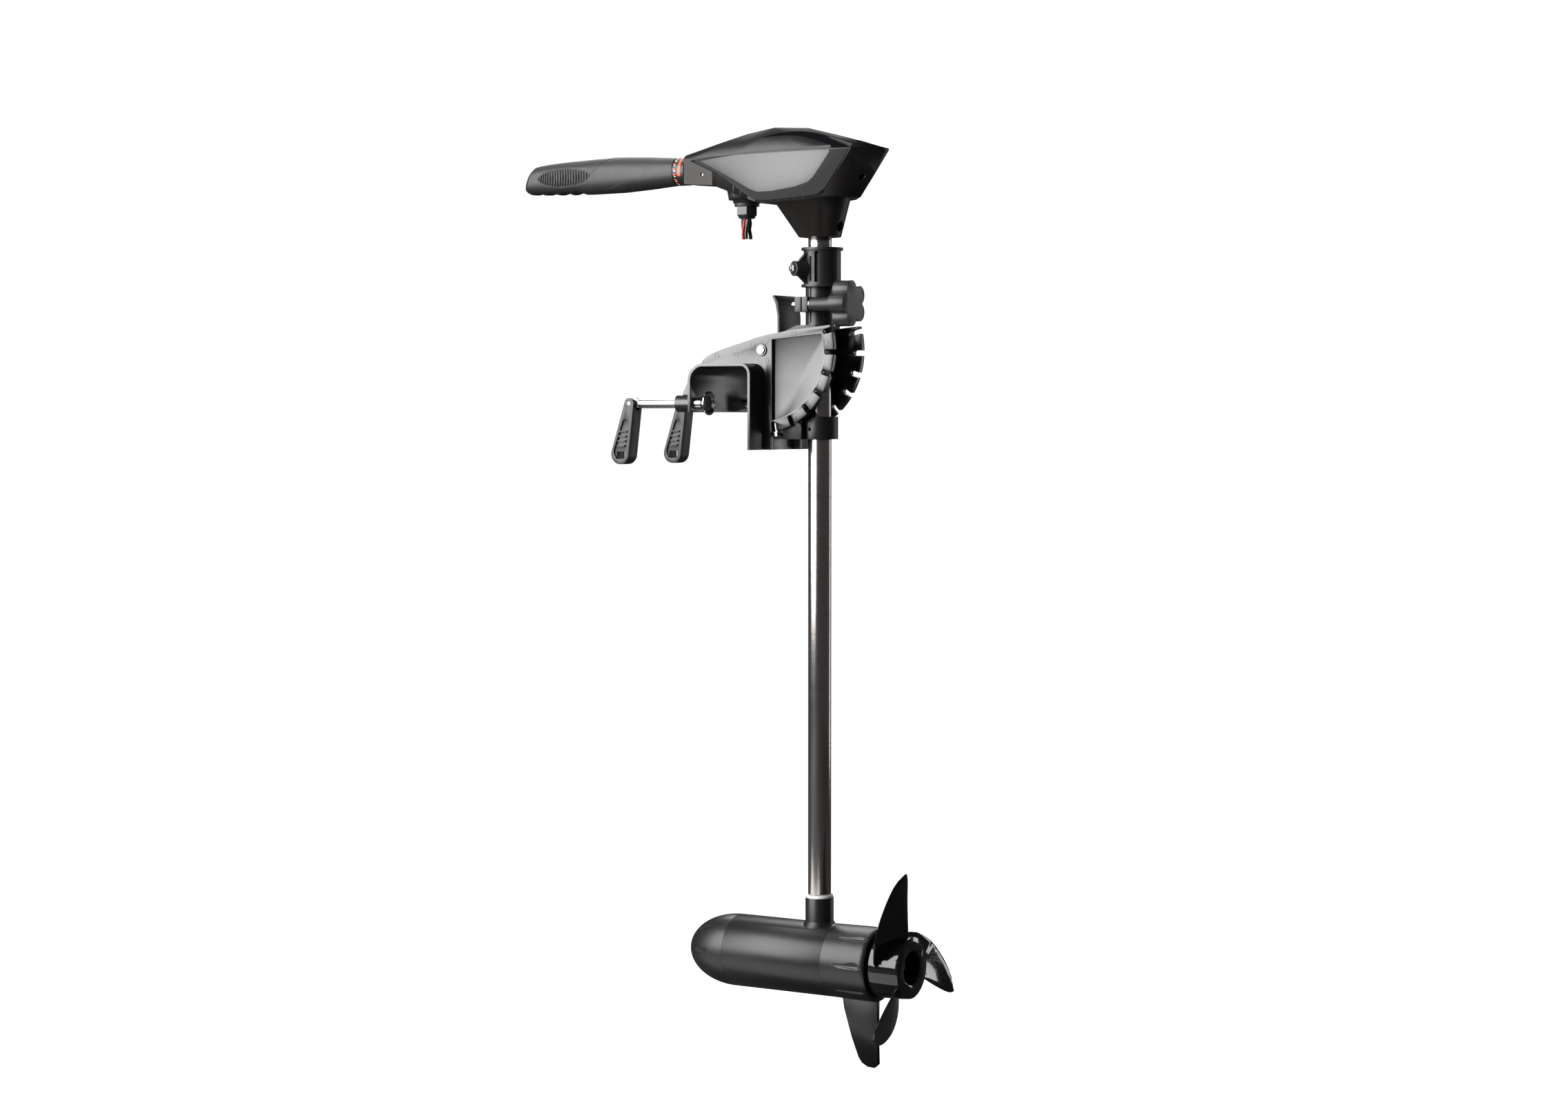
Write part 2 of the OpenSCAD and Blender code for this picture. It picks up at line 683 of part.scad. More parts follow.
// Side panel outline: a long leaf from the tiller joint to the rear quarter
module panel_outline() {
    polygon([[-160, 256], [-120, 259], [-60, 262], [0, 265], [38, 265.5], [38.5, 256], [15, 227],
        [8, 222], [-10, 217], [-44, 213], [-66, 213], [-78, 217], [-110, 233]]);
}

module trim_outline() {
    difference() {
        polygon([[-176, 257], [-120, 262], [-66, 266], [-20, 268], [66, 267], [66, 261], [28, 208],
            [20, 206], [-50, 202.5], [-72, 204], [-88, 213], [-130, 238]]);
        panel_outline();
    }
}

// Skin of the head's flank that a side outline is cut from, standing proud of the shell
module flank_skin(proud) {
    difference() {
        translate([0, 0, 195]) linear_extrude(75) head_plan(-proud);
        translate([0, 0, 190]) linear_extrude(85) head_plan(-0.1);
        translate([-400, 0, 150]) cube([800, 100, 200]);
        translate([shaft_x + 66, -100, 150]) cube([100, 200, 200]);
    }
}

module side_panels() {
    color([0.52, 0.52, 0.54]) both_sides() intersection() {
        flank_skin(1.4);
        across(-80, 0) translate([shaft_x, 0]) panel_outline();
        translate([-300, -100, 190]) cube([600, 200, parting_z - 190]);
    }
}

module side_trims() {
    color([0.07, 0.07, 0.08]) both_sides() intersection() {
        flank_skin(1);
        across(-80, 0) translate([shaft_x, 0]) trim_outline();
        translate([-300, -100, 190]) cube([600, 200, parting_z - 190]);
    }
}

module head_lower_shell() {
    screw_hole_r = 2.2;
    color([0.34, 0.34, 0.36]) difference() {
        union() {
            lower_solid(0);
            neck_solid(0);
            translate([gland_x - 3, 0, 207]) cylinder(r1 = 20, r2 = 23, h = 17);
            rod_z(17.2, 203, 208, gland_x);
        }
        difference() {
            lower_solid(wall_t);
            translate([head_front_x - 1, -30, 190]) cube([12, 60, 80]);
        }
        difference() {
            neck_solid(wall_t);
            rod_z(shaft_r + 3.5, neck_bottom_z, 186, shaft_x);
        }
        rod_z(shaft_r + 0.02, neck_bottom_z - 1, 230, shaft_x);
        rod_z(9, 200, 230, gland_x);
        rod_x(throttle_tube_d / 2 + 2, head_front_x - 1, head_front_x + 13, 0, tiller_z);
        rod_x(6.3, shaft_x + 16, shaft_x + 40, 0, 170);
        rod_x(2.52, shaft_x + shaft_r - 1, shaft_x + 17, 0, 170);
        both_sides() rod_y(screw_hole_r, -60, -15, shaft_x - 157, 239);
    }
}

module head_upper_cover() {
    color([0.30, 0.30, 0.32]) difference() {
        cover_solid(0);
        difference() {
            translate([0, 0, -0.6]) cover_solid(wall_t);
            translate([head_front_x - 1, -30, 250]) cube([12, 60, 80]);
        }
        rod_x(throttle_tube_d / 2 + 2, head_front_x - 1, head_front_x + 13, 0, tiller_z);
    }
}

module cover_screws() {
    color("silver") both_sides() union() {
        rod_y(2, -19.4, -14.4, shaft_x - 157, 239);
        rod_y(2.1, -21, -19.3, shaft_x - 157, 239);
    }
}

module head_screw() {
    color("silver") union() {
        rod_x(4.5, shaft_x + 19, shaft_x + 23, 0, 170);
        rod_x(2.5, shaft_x + shaft_r + 0.1, shaft_x + 20, 0, 170);
    }
}

module speed_switch() {
    color("dimgray") difference() {
        union() {
            rod_x(14, head_front_x + 26, head_front_x + 46, 0, tiller_z);
            translate([head_front_x + 46, -12, tiller_z - 10]) cube([8, 24, 18]);
        }
        rod_x(4, head_front_x + 25, head_front_x + 40, 0, tiller_z);
    }
}

module tiller_bush() {
    color("whitesmoke") difference() {
        rod_x(throttle_tube_d / 2 + 1.95, head_front_x, head_front_x + 11, 0, tiller_z);
        rod_x(throttle_tube_d / 2 + run_gap, head_front_x - 1, head_front_x + 13, 0, tiller_z);
    }
}

module cable_gland() {
    color([0.13, 0.13, 0.14]) difference() {
        union() {
            rod_z(15.5, gland_z, 203, gland_x);
            rod_z(8.9, lead_top_z, 214, gland_x);
        }
        rod_z(7, lead_top_z + 6, 215, gland_x);
    }
}

module gland_nut() {
    color([0.40, 0.40, 0.43]) difference() {
        union() {
            translate([gland_x, 0, 188]) cylinder(r = 14, h = 11, $fn = 6);
            translate([gland_x, 0, nut_bottom_z]) cylinder(r1 = 9.5, r2 = 12, h = 4.5);
        }
        rod_z(9, lead_top_z - 0.1, 200, gland_x);
        rod_z(8.2, nut_bottom_z - 1, lead_top_z, gland_x);
    }
}

module battery_lead(route, d) {
    translate([gland_x, 0, 0]) swept_tube(route, d / 2);
}

module red_battery_lead() color("firebrick") battery_lead(red_route, red_lead_d);
module black_battery_lead() color("black") battery_lead(black_route, black_lead_d);
module second_black_lead() color("black") battery_lead(second_route, second_lead_d);
module third_black_lead() color("black") battery_lead(third_route, black_lead_d);

// ---------------------------------------------------------------- tiller

module throttle_tube() {
    key_x = head_front_x + 39;
    color("silver") union() {
        difference() {
            rod_x(throttle_tube_d / 2, head_front_x - grip_len + 20, head_front_x + 24, 0, tiller_z);
            rod_x(throttle_tube_d / 2 - 2, head_front_x - grip_len + 19, head_front_x + 20, 0, tiller_z);
        }
        rod_x(3.7, head_front_x + 23, key_x, 0, tiller_z);
    }
}

module scale_ring() {
    color([0.12, 0.12, 0.13]) difference() {
        rod_x(17.7, head_front_x - 17.5, head_front_x - 0.8, 0, tiller_z);
        rod_x(throttle_tube_d / 2 + 0.02, head_front_x - 19, head_front_x, 0, tiller_z);
    }
}

// Stations of the grip: distance forward of its inner end, half width, half height, centre height
grip_stations = [[0, 17.4, 17.4, 0], [80, 19.5, 22.8, -0.5], [125, 19.5, 22.6, -1.2],
    [200, 18.5, 20, -2.2], [218, 17.5, 18.5, -2.5], [230, 11, 11, -6]];

module tiller_grip() {
    inner_x = head_front_x - 18.4;
    color([0.28, 0.28, 0.30]) difference() {
        hull() for (s = grip_stations)
            translate([inner_x - s[0] - 1.5, 0, tiller_z + s[3]]) rotate([0, 90, 0])
                scale([s[2], s[1], 1]) cylinder(r = 1, h = 1.5, $fn = hull_fn);
        rod_x(throttle_tube_d / 2 + run_gap, inner_x - grip_len + 28, inner_x + 1, 0, tiller_z);
        // finger grooves underneath
        for (x = [-212, -190, -169, -148])
            rod_y(12, -30, 30, inner_x + x, tiller_z - 33);
    }
}

// ---------------------------------------------------------------- motor pod

// Half an ellipse turned about the motor axis, as a nose of a given length and radius
module nose_profile(a, r) {
    steps = 22;
    polygon(concat([[0, 0]],
        [for (i = [0 : steps]) [r * cos(90 * i / steps), a * sin(90 * i / steps)]]));
}

// Two rods along the motor, one above and one below the gaps between the magnets
module bolt_pair(r, x0, x1) {
    rod_x(r, x0, x1, -9, motor_z + 34);
    rod_x(r, x0, x1, 9, motor_z - 34);
}

module nose_cone() {
    color([0.24, 0.24, 0.25]) difference() {
        translate([housing_front_x - 0.15, 0, motor_z]) rotate([0, -90, 0]) rotate_extrude()
            difference() {
                nose_profile(nose_len, motor_r);
                nose_profile(nose_len - motor_wall, motor_r - motor_wall);
            }
    }
}

module motor_housing() {
    inner_r = motor_r - motor_wall;
    color([0.30, 0.30, 0.32]) difference() {
        union() {
            rod_x(motor_r, housing_front_x, housing_rear_x, 0, motor_z);
            rod_z(coupling_r, motor_z, coupling_top_z, shaft_x);
            translate([shaft_x, 0, motor_z + 34]) cylinder(r1 = 26, r2 = coupling_r, h = 13);
        }
        rod_x(inner_r, housing_front_x - 1, housing_rear_x + 1, 0, motor_z);
        rod_z(shaft_r + 0.02, shaft_bottom_z, coupling_top_z + 1, shaft_x);
        rod_z(8, motor_z, shaft_bottom_z + 1, shaft_x);
    }
}

module rear_bell() {
    color([0.30, 0.30, 0.32]) difference() {
        on_motor_axis() rotate_extrude() polygon([[0, housing_rear_x + 0.15],
            [motor_r, housing_rear_x + 0.15], [motor_r + 0.6, bell_rear_x - 22],
            [motor_r + 0.4, bell_rear_x - 2], [motor_r - 1.5, bell_rear_x], [0, bell_rear_x]]);
        rod_x(motor_r - motor_wall, housing_rear_x - 1, bell_rear_x - 14, 0, motor_z);
        rod_x(14.02, bell_rear_x - 15, bell_rear_x - 5, 0, motor_z);
        rod_x(armature_shaft_d / 2 + 4, bell_rear_x - 6, bell_rear_x + 1, 0, motor_z);
        bolt_pair(2.02, bell_rear_x - 15, bell_rear_x - 8.9);
    }
}

module skeg() {
    skeg_t = 6;
    color([0.16, 0.16, 0.17]) difference() {
        across(-skeg_t / 2, skeg_t / 2) union() {
            polygon([[shaft_x + 34, motor_z - 42], [shaft_x + 36.5, motor_z - 58],
                [shaft_x + 47, motor_z - 92], [shaft_x + 57, motor_z - 117],
                [shaft_x + 62, motor_z - 123.5], [shaft_x + 70, motor_z - 127.5],
                [shaft_x + 79, motor_z - 128], [shaft_x + 84.5, motor_z - 123],
                [shaft_x + 83.5, motor_z - 90], [shaft_x + 84, motor_z - 42]]);
        }
        rod_x(motor_r + 0.55, housing_front_x, bell_rear_x + 10, 0, motor_z);
    }
}

module field_magnets() {
    inner_r = motor_r - motor_wall;
    color("dimgray") difference() {
        rod_x(inner_r - 0.1, housing_front_x + 20, housing_rear_x - 22, 0, motor_z);
        rod_x(inner_r - 8, housing_front_x + 19, housing_rear_x, 0, motor_z);
        // the two arcs leave the top and the bottom open
        translate([housing_front_x, -14, motor_z - 60]) cube([200, 28, 120]);
    }
}

// Ball bearing, as its outer size, about the motor axis
module bearing(x0, x1) {
    difference() {
        rod_x(14, x0, x1, 0, motor_z);
        rod_x(armature_shaft_d / 2 + 0.02, x0 - 1, x1 + 1, 0, motor_z);
    }
}

// The front bearing sits in a plate across the nose end of the housing
module motor_bearings() {
    color("silver") {
        bearing(housing_front_x + 2, housing_front_x + 11);
        bearing(bell_rear_x - 14.9, bell_rear_x - 6);
    }
}

module prop_shaft_seal() {
    color("black") difference() {
        rod_x(armature_shaft_d / 2 + 3.98, bell_rear_x - 4.9, bell_rear_x - 0.5, 0, motor_z);
        rod_x(armature_shaft_d / 2 + run_gap, bell_rear_x - 6, bell_rear_x + 1, 0, motor_z);
    }
}

// Plate across the front of the housing, carrying the front bearing and the brushes
module brush_plate() {
    color("tan") difference() {
        rod_x(motor_r - motor_wall - 0.1, housing_front_x + 1, housing_front_x + 12, 0, motor_z);
        rod_x(14.02, housing_front_x, housing_front_x + 13, 0, motor_z);
        bolt_pair(3, housing_front_x, housing_front_x + 13);
    }
}

module housing_o_rings() {
    color("black") for (x = [housing_front_x + 14, housing_rear_x - 14])
        difference() {
            rod_x(motor_r - motor_wall - 0.05, x, x + 2.5, 0, motor_z);
            rod_x(motor_r - motor_wall - 2.5, x - 1, x + 4, 0, motor_z);
        }
}

module through_bolts() {
    color("silver") bolt_pair(2, housing_front_x - 6, bell_rear_x - 9);
}

// ---------------------------------------------------------------- armature and propeller

module armature_shaft() {
    color("silver") difference() {
        rod_x(armature_shaft_d / 2, housing_front_x + 2, hub_rear_x - 16, 0, motor_z);
        rod_y(1.7, -10, 10, hub_front_x + 6, motor_z);
    }
}

// Laminated core and commutator, fixed on the armature shaft
module armature_core() {
    color("peru") difference() {
        union() {
            rod_x(armature_r, housing_front_x + 34, housing_rear_x - 28, 0, motor_z);
            rod_x(13, housing_front_x + 15, housing_front_x + 35, 0, motor_z);
        }
        rod_x(armature_shaft_d / 2 + 0.02, housing_front_x + 10, housing_rear_x, 0, motor_z);
    }
}

// Blade shape along the radius, with q from 0 at the root to 1 at the tip: the angles of its
// trailing and leading edges about the motor axis, its lead along the axis and its thickness
blade_root_r = 34;
blade_steps = 14;
chord_steps = 8;
blade_lead = 0.3;
trailing_angle = 93;
leading_angles = [[0, 180], [0.1, 173], [0.2, 166], [0.31, 156], [0.43, 145], [0.55, 135],
    [0.67, 125], [0.76, 118.5], [0.85, 112.5], [0.92, 107.5], [0.97, 103], [1, 98.5]];
function blade_r(q) = blade_root_r + (prop_r - blade_root_r) * q;
function blade_q(i) = let (t = i / blade_steps) t * (1.25 - 0.25 * t);
function blade_trail(q) = trailing_angle + 1.5 * q + 2 * pow(q, 12);
function blade_rake(q) = 5 * pow(q, 3);
function blade_t(q) = 5 - 3 * q;

// One point of a blade: s runs from 0 to 1 along the chord, side is 1 or -1
function blade_point(q, s, side, turn) =
    let (a = blade_trail(q) + (lookup(q, leading_angles) - blade_trail(q)) * s,
         thick = blade_t(q) * (0.25 + 0.75 * sin(180 * s)) / 2,
         x = hub_rear_x - 4 - blade_lead * (a - trailing_angle) + blade_rake(q) + side * thick)
    [x, blade_r(q) * cos(a + turn), motor_z + blade_r(q) * sin(a + turn)];

module blade(turn) {
    row = chord_steps + 1;
    rows = blade_steps + 1;
    pts = [for (side = [1, -1]) for (i = [0 : blade_steps]) for (j = [0 : chord_steps])
        blade_point(blade_q(i), j / chord_steps, side, turn)];
    back = row * rows;
    faces_a = [for (i = [0 : blade_steps - 1]) for (j = [0 : chord_steps - 1]) each
        [[i * row + j, i * row + j + 1, (i + 1) * row + j + 1],
         [i * row + j, (i + 1) * row + j + 1, (i + 1) * row + j]]];
    faces_b = [for (f = faces_a) [back + f[2], back + f[1], back + f[0]]];
    rim = concat([for (j = [0 : chord_steps]) j],
        [for (i = [1 : blade_steps]) i * row + chord_steps],
        [for (j = [chord_steps - 1 : -1 : 0]) blade_steps * row + j],
        [for (i = [blade_steps - 1 : -1 : 1]) i * row]);
    n = len(rim);
    edge = [for (k = [0 : n - 1]) each
        [[rim[k], back + rim[k], back + rim[(k + 1) % n]],
         [rim[k], back + rim[(k + 1) % n], rim[(k + 1) % n]]]];
    polyhedron(points = pts, faces = concat(faces_a, faces_b, edge));
}

module propeller() {
    spoke_t = 3;
    color([0.06, 0.06, 0.07]) difference() {
        union() {
            difference() {
                on_motor_axis() rotate_extrude() polygon([[0, hub_front_x], [hub_d / 2 + 1, hub_front_x],
                    [hub_d / 2, hub_front_x + 30], [hub_d / 2 - 1, hub_rear_x], [0, hub_rear_x]]);
                rod_x(recess_r, hub_rear_x - 24, hub_rear_x + 1, 0, motor_z);
                rod_x(hub_d / 2 - 6, hub_front_x - 1, hub_front_x + 5, 0, motor_z);
            }
            for (i = [0 : blade_count - 1]) blade(360 * i / blade_count);
            for (a = [20, 110]) translate([0, 0, motor_z]) rotate([a, 0, 0])
                translate([hub_rear_x - 25, -recess_r - 1, -spoke_t / 2])
                    cube([12, 2 * recess_r + 2, spoke_t]);
            rod_x(9, hub_rear_x - 25, hub_rear_x - 20, 0, motor_z);
        }
        rod_x(armature_shaft_d / 2 + 0.03, hub_front_x - 1, hub_rear_x + 1, 0, motor_z);
        rod_x(8.5, hub_rear_x - 20, hub_rear_x, 0, motor_z);
        translate([hub_front_x + 4, -12, motor_z - 1.9]) cube([3.9, 24, 3.8]);
    }
}

module prop_nut() {
    color("silver") difference() {
        translate([hub_rear_x - 19.9, 0, motor_z]) rotate([0, 90, 0]) cylinder(r = 7, h = 7, $fn = 6);
        rod_x(armature_shaft_d / 2 + 0.02, hub_rear_x - 21, hub_rear_x, 0, motor_z);
    }
}

module drive_pin() {
    color("silver") rod_y(1.65, -11.5, 11.5, hub_front_x + 6, motor_z);
}

// ---------------------------------------------------------------- parts

clamp_bracket();
tilt_pivot_pin();
pivot_pin_clips();
screw_inserts();
port_clamp_pad();
port_clamp_screw();
port_clamp_handle();
port_handle_pin();
starboard_clamp_pad();
starboard_clamp_screw();
starboard_clamp_handle();
starboard_handle_pin();
swivel_bracket();
pivot_bushes();
upper_steering_bush();
lower_steering_bush();
tension_nut();
release_lever();
tilt_lock_bar();
tension_washer();
star_knob();
tension_screw();
depth_collar();
collar_screw();
shaft_tube();
motor_wires();
head_lower_shell();
head_upper_cover();
side_panels();
side_trims();
cover_screws();
head_screw();
speed_switch();
tiller_bush();
cable_gland();
gland_nut();
red_battery_lead();
black_battery_lead();
second_black_lead();
third_black_lead();
shaft_seal_ring();
motor_housing();
nose_cone();
rear_bell();
skeg();
field_magnets();
motor_bearings();
prop_shaft_seal();
brush_plate();
housing_o_rings();
through_bolts();
throttle_tube();
scale_ring();
tiller_grip();
propeller();
prop_nut();
drive_pin();
armature_shaft();
armature_core();
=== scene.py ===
"""Looks of the transom-mount trolling motor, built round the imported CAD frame."""
import json
import math

import bmesh
import bpy
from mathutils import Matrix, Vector
from mathutils.bvhtree import BVHTree


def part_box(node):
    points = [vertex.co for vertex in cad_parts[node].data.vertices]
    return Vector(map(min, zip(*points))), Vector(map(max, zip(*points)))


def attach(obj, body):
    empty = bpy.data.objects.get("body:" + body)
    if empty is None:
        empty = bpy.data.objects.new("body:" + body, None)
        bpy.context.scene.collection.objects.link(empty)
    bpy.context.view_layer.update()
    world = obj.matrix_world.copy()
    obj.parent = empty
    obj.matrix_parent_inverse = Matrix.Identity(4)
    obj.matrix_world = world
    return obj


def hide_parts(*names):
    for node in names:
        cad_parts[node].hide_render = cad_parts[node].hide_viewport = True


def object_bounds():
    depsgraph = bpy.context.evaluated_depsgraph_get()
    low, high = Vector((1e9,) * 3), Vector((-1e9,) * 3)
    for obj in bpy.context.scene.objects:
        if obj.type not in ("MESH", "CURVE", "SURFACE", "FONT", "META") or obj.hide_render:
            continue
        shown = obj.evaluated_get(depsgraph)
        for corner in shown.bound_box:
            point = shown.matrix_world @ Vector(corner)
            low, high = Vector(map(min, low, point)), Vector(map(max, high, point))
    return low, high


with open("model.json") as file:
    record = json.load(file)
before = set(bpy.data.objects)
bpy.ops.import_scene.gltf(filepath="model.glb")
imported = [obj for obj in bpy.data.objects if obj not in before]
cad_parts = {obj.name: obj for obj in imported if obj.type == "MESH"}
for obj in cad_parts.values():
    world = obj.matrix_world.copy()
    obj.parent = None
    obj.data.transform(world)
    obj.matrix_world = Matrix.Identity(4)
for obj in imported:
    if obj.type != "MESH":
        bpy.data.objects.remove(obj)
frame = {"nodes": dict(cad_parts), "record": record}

CAD_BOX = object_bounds()
NODES = frame["nodes"]
MM = 0.001


def centre(node):
    """Middle of a CAD node's box."""
    low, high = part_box(node)
    return (low + high) / 2


SHAFT = centre("shaft_tube")
SHAFT_X = SHAFT.x
TILLER_Z = centre("throttle_tube").z
MOTOR_Z = centre("armature_shaft").z


def at(x, y, z):
    """A point given in mm, with x counted aft from the shaft's axis."""
    return Vector((SHAFT_X + x * MM, y * MM, z * MM))


# ---------------------------------------------------------------- camera

AZIMUTH = math.radians(31)
CAMERA = {"pitch": math.radians(2.8), "distance": 3.65, "aside": 0.044, "lens": 68.2, "sensor": 36}


def bearing(angle, height=0):
    """Direction from the object, in degrees to the right of the camera and above the horizon."""
    turn, rise = AZIMUTH + math.radians(angle), math.radians(height)
    return Vector((math.sin(turn) * math.cos(rise), -math.cos(turn) * math.cos(rise), math.sin(rise)))


def make_camera():
    """The view is from port and a little aft, almost level with the middle of the shaft."""
    data = bpy.data.cameras.new("camera")
    data.lens = CAMERA["lens"]
    data.sensor_width = CAMERA["sensor"]
    camera = bpy.data.objects.new("camera", data)
    bpy.context.scene.collection.objects.link(camera)
    aim = at(0, 0, -59)
    camera.location = aim + bearing(0) * CAMERA["distance"] - bearing(90) * CAMERA["aside"]
    camera.rotation_euler = (math.pi / 2 - CAMERA["pitch"], 0, AZIMUTH)
    bpy.context.scene.camera = camera


make_camera()


# ---------------------------------------------------------------- mesh tools

def new_object(name, mesh):
    obj = bpy.data.objects.new(name, mesh)
    bpy.context.scene.collection.objects.link(obj)
    return obj


def from_bmesh(name, bm):
    mesh = bpy.data.meshes.new(name)
    bm.normal_update()
    bm.to_mesh(mesh)
    bm.free()
    return new_object(name, mesh)


def smooth(obj, angle=35):
    """Smooth shading with sharp edges above an angle."""
    for face in obj.data.polygons:
        face.use_smooth = True
    obj.data.set_sharp_from_angle(angle=math.radians(angle))


def weld_points(obj):
    """Join the points that the CAD mesh repeats where its faces meet."""
    weld = obj.modifiers.new("weld", "WELD")
    weld.merge_threshold = 0.01 * MM


def soften(obj, width):
    """Round the sharp edges of a piece by a bevel, given in mm."""
    weld_points(obj)
    flat = obj.modifiers.new("flat", "DECIMATE")
    flat.decimate_type = "DISSOLVE"
    flat.angle_limit = math.radians(0.6)
    bevel = obj.modifiers.new("bevel", "BEVEL")
    bevel.width = width * MM
    bevel.segments = 2
    bevel.limit_method = "ANGLE"
    bevel.angle_limit = math.radians(32)
    bevel.harden_normals = False
    bevel.use_clamp_overlap = True


# ---------------------------------------------------------------- materials

class Nodes:
    """Short way to add linked shader nodes to a material."""

    def __init__(self, name):
        self.material = bpy.data.materials.new(name)
        self.material.use_nodes = True
        self.tree = self.material.node_tree
        self.shader = self.tree.nodes["Principled BSDF"]
        self.coords = self.add("ShaderNodeTexCoord").outputs["Object"]

    def add(self, kind, **inputs):
        node = self.tree.nodes.new(kind)
        for key, value in inputs.items():
            self.put(node, key, value)
        return node

    def put(self, node, key, value):
        socket = node.inputs[key]
        if isinstance(value, bpy.types.NodeSocket):
            self.tree.links.new(value, socket)
        else:
            socket.default_value = value

    def stretched(self, scale):
        """Object coordinates multiplied by a vector."""
        mapping = self.add("ShaderNodeMapping", Vector=self.coords, Scale=scale)
        return mapping.outputs["Vector"]

    def noise(self, scale, detail=2.0, vector=None, roughness=0.5):
        node = self.add("ShaderNodeTexNoise", Scale=scale, Detail=detail, Roughness=roughness)
        self.put(node, "Vector", vector or self.coords)
        return node.outputs["Fac"]

    def span(self, value, low, high, start=0.0, end=1.0):
        """Map a value from start..end to low..high."""
        node = self.add("ShaderNodeMapRange")
        self.put(node, "Value", value)
        self.put(node, "From Min", start)
        self.put(node, "From Max", end)
        self.put(node, "To Min", low)
        self.put(node, "To Max", high)
        return node.outputs["Result"]

    def blend(self, factor, a, b):
        node = self.tree.nodes.new("ShaderNodeMix")
        node.data_type = "RGBA"
        self.put(node, 0, factor)
        for index, value in ((6, a), (7, b)):
            if isinstance(value, bpy.types.NodeSocket):
                self.tree.links.new(value, node.inputs[index])
            else:
                node.inputs[index].default_value = (*value, 1)
        return node.outputs[2]

    def bump(self, height, strength, distance, normal=None):
        node = self.add("ShaderNodeBump", Strength=strength, Distance=distance, Height=height)
        if normal:
            self.put(node, "Normal", normal)
        return node.outputs["Normal"]

    def set(self, **inputs):
        for key, value in inputs.items():
            name = key.replace("_", " ")
            if name == "Base Color" and not isinstance(value, bpy.types.NodeSocket):
                value = (*value, 1)
            self.put(self.shader, name, value)
        return self


def shade(colour, k):
    return tuple(min(1.0, c * k) for c in colour)


def plastic(name, colour, rough, grain=0.22, sheen=0.5):
    """Moulded plastic: spark-eroded grain, faint flow marks, edges rubbed a little lighter."""
    n = Nodes(name)
    cloud = n.noise(14, 3)
    fine = n.noise(1400, 2, roughness=0.65)
    edge = n.add("ShaderNodeNewGeometry").outputs["Pointiness"]
    worn = n.span(edge, 0, 1, 0.53, 0.60)
    base = n.blend(cloud, shade(colour, 0.86), shade(colour, 1.14))
    base = n.blend(worn, base, shade(colour, 1.8))
    n.set(Base_Color=base, Roughness=n.span(cloud, rough - 0.06, rough + 0.06, 0.3, 0.7),
          Normal=n.bump(fine, grain, 0.00012))
    n.shader.inputs["Specular IOR Level"].default_value = sheen
    return n.material


def gloss(name, colour, rough=0.07, sheen=0.5):
    """Polished moulding with a clear reflection, faint orange peel and fine dust in its sheen."""
    n = Nodes(name)
    peel = n.noise(90, 2)
    dust = n.noise(420, 4, roughness=0.7)
    n.set(Base_Color=n.blend(n.noise(9), colour, shade(colour, 1.5)),
          Roughness=n.span(dust, rough, rough + 0.10, 0.45, 0.75), Normal=n.bump(peel, 0.08, 0.0004))
    n.shader.inputs["Specular IOR Level"].default_value = sheen
    return n.material


def metal(name, colour, rough, lines=None, strength=0.15, anisotropic=0.0):
    """Metal with fine machining or brushing marks along the short direction of lines."""
    n = Nodes(name)
    cloud = n.noise(25, 3)
    marks = n.noise(1, 3, n.stretched(lines or (900, 900, 900)), 0.7)
    n.set(Base_Color=n.blend(cloud, shade(colour, 0.9), colour),
          Roughness=n.span(marks, rough - 0.06, rough + 0.10, 0.3, 0.7),
          Normal=n.bump(marks, strength, 0.00006))
    n.shader.inputs["Metallic"].default_value = 1
    n.shader.inputs["Anisotropic"].default_value = anisotropic
    return n.material


def powder_coat(name, colour, rough):
    """Powder coat: a fine even sparkle of tiny bumps."""
    n = Nodes(name)
    pebble = n.noise(1900, 2, roughness=0.6)
    cloud = n.noise(11, 2)
    speck = n.noise(1500, 1)
    base = n.blend(n.span(speck, 0, 1, 0.55, 0.75), colour, shade(colour, 1.7))
    n.set(Base_Color=base, Roughness=n.span(cloud, rough - 0.04, rough + 0.05, 0.3, 0.7),
          Normal=n.bump(pebble, 0.45, 0.00012))
    n.shader.inputs["Metallic"].default_value = 0.25
    return n.material


def rubber(name, colour, rough=0.55):
    """Soft rubber: matt, with a faint cloudy bloom."""
    n = Nodes(name)
    cloud = n.noise(30, 4)
    fine = n.noise(2200, 2)
    n.set(Base_Color=n.blend(cloud, colour, shade(colour, 1.35)),
          Roughness=n.span(cloud, rough - 0.05, rough + 0.08, 0.3, 0.7),
          Normal=n.bump(fine, 0.25, 0.0001))
    return n.material


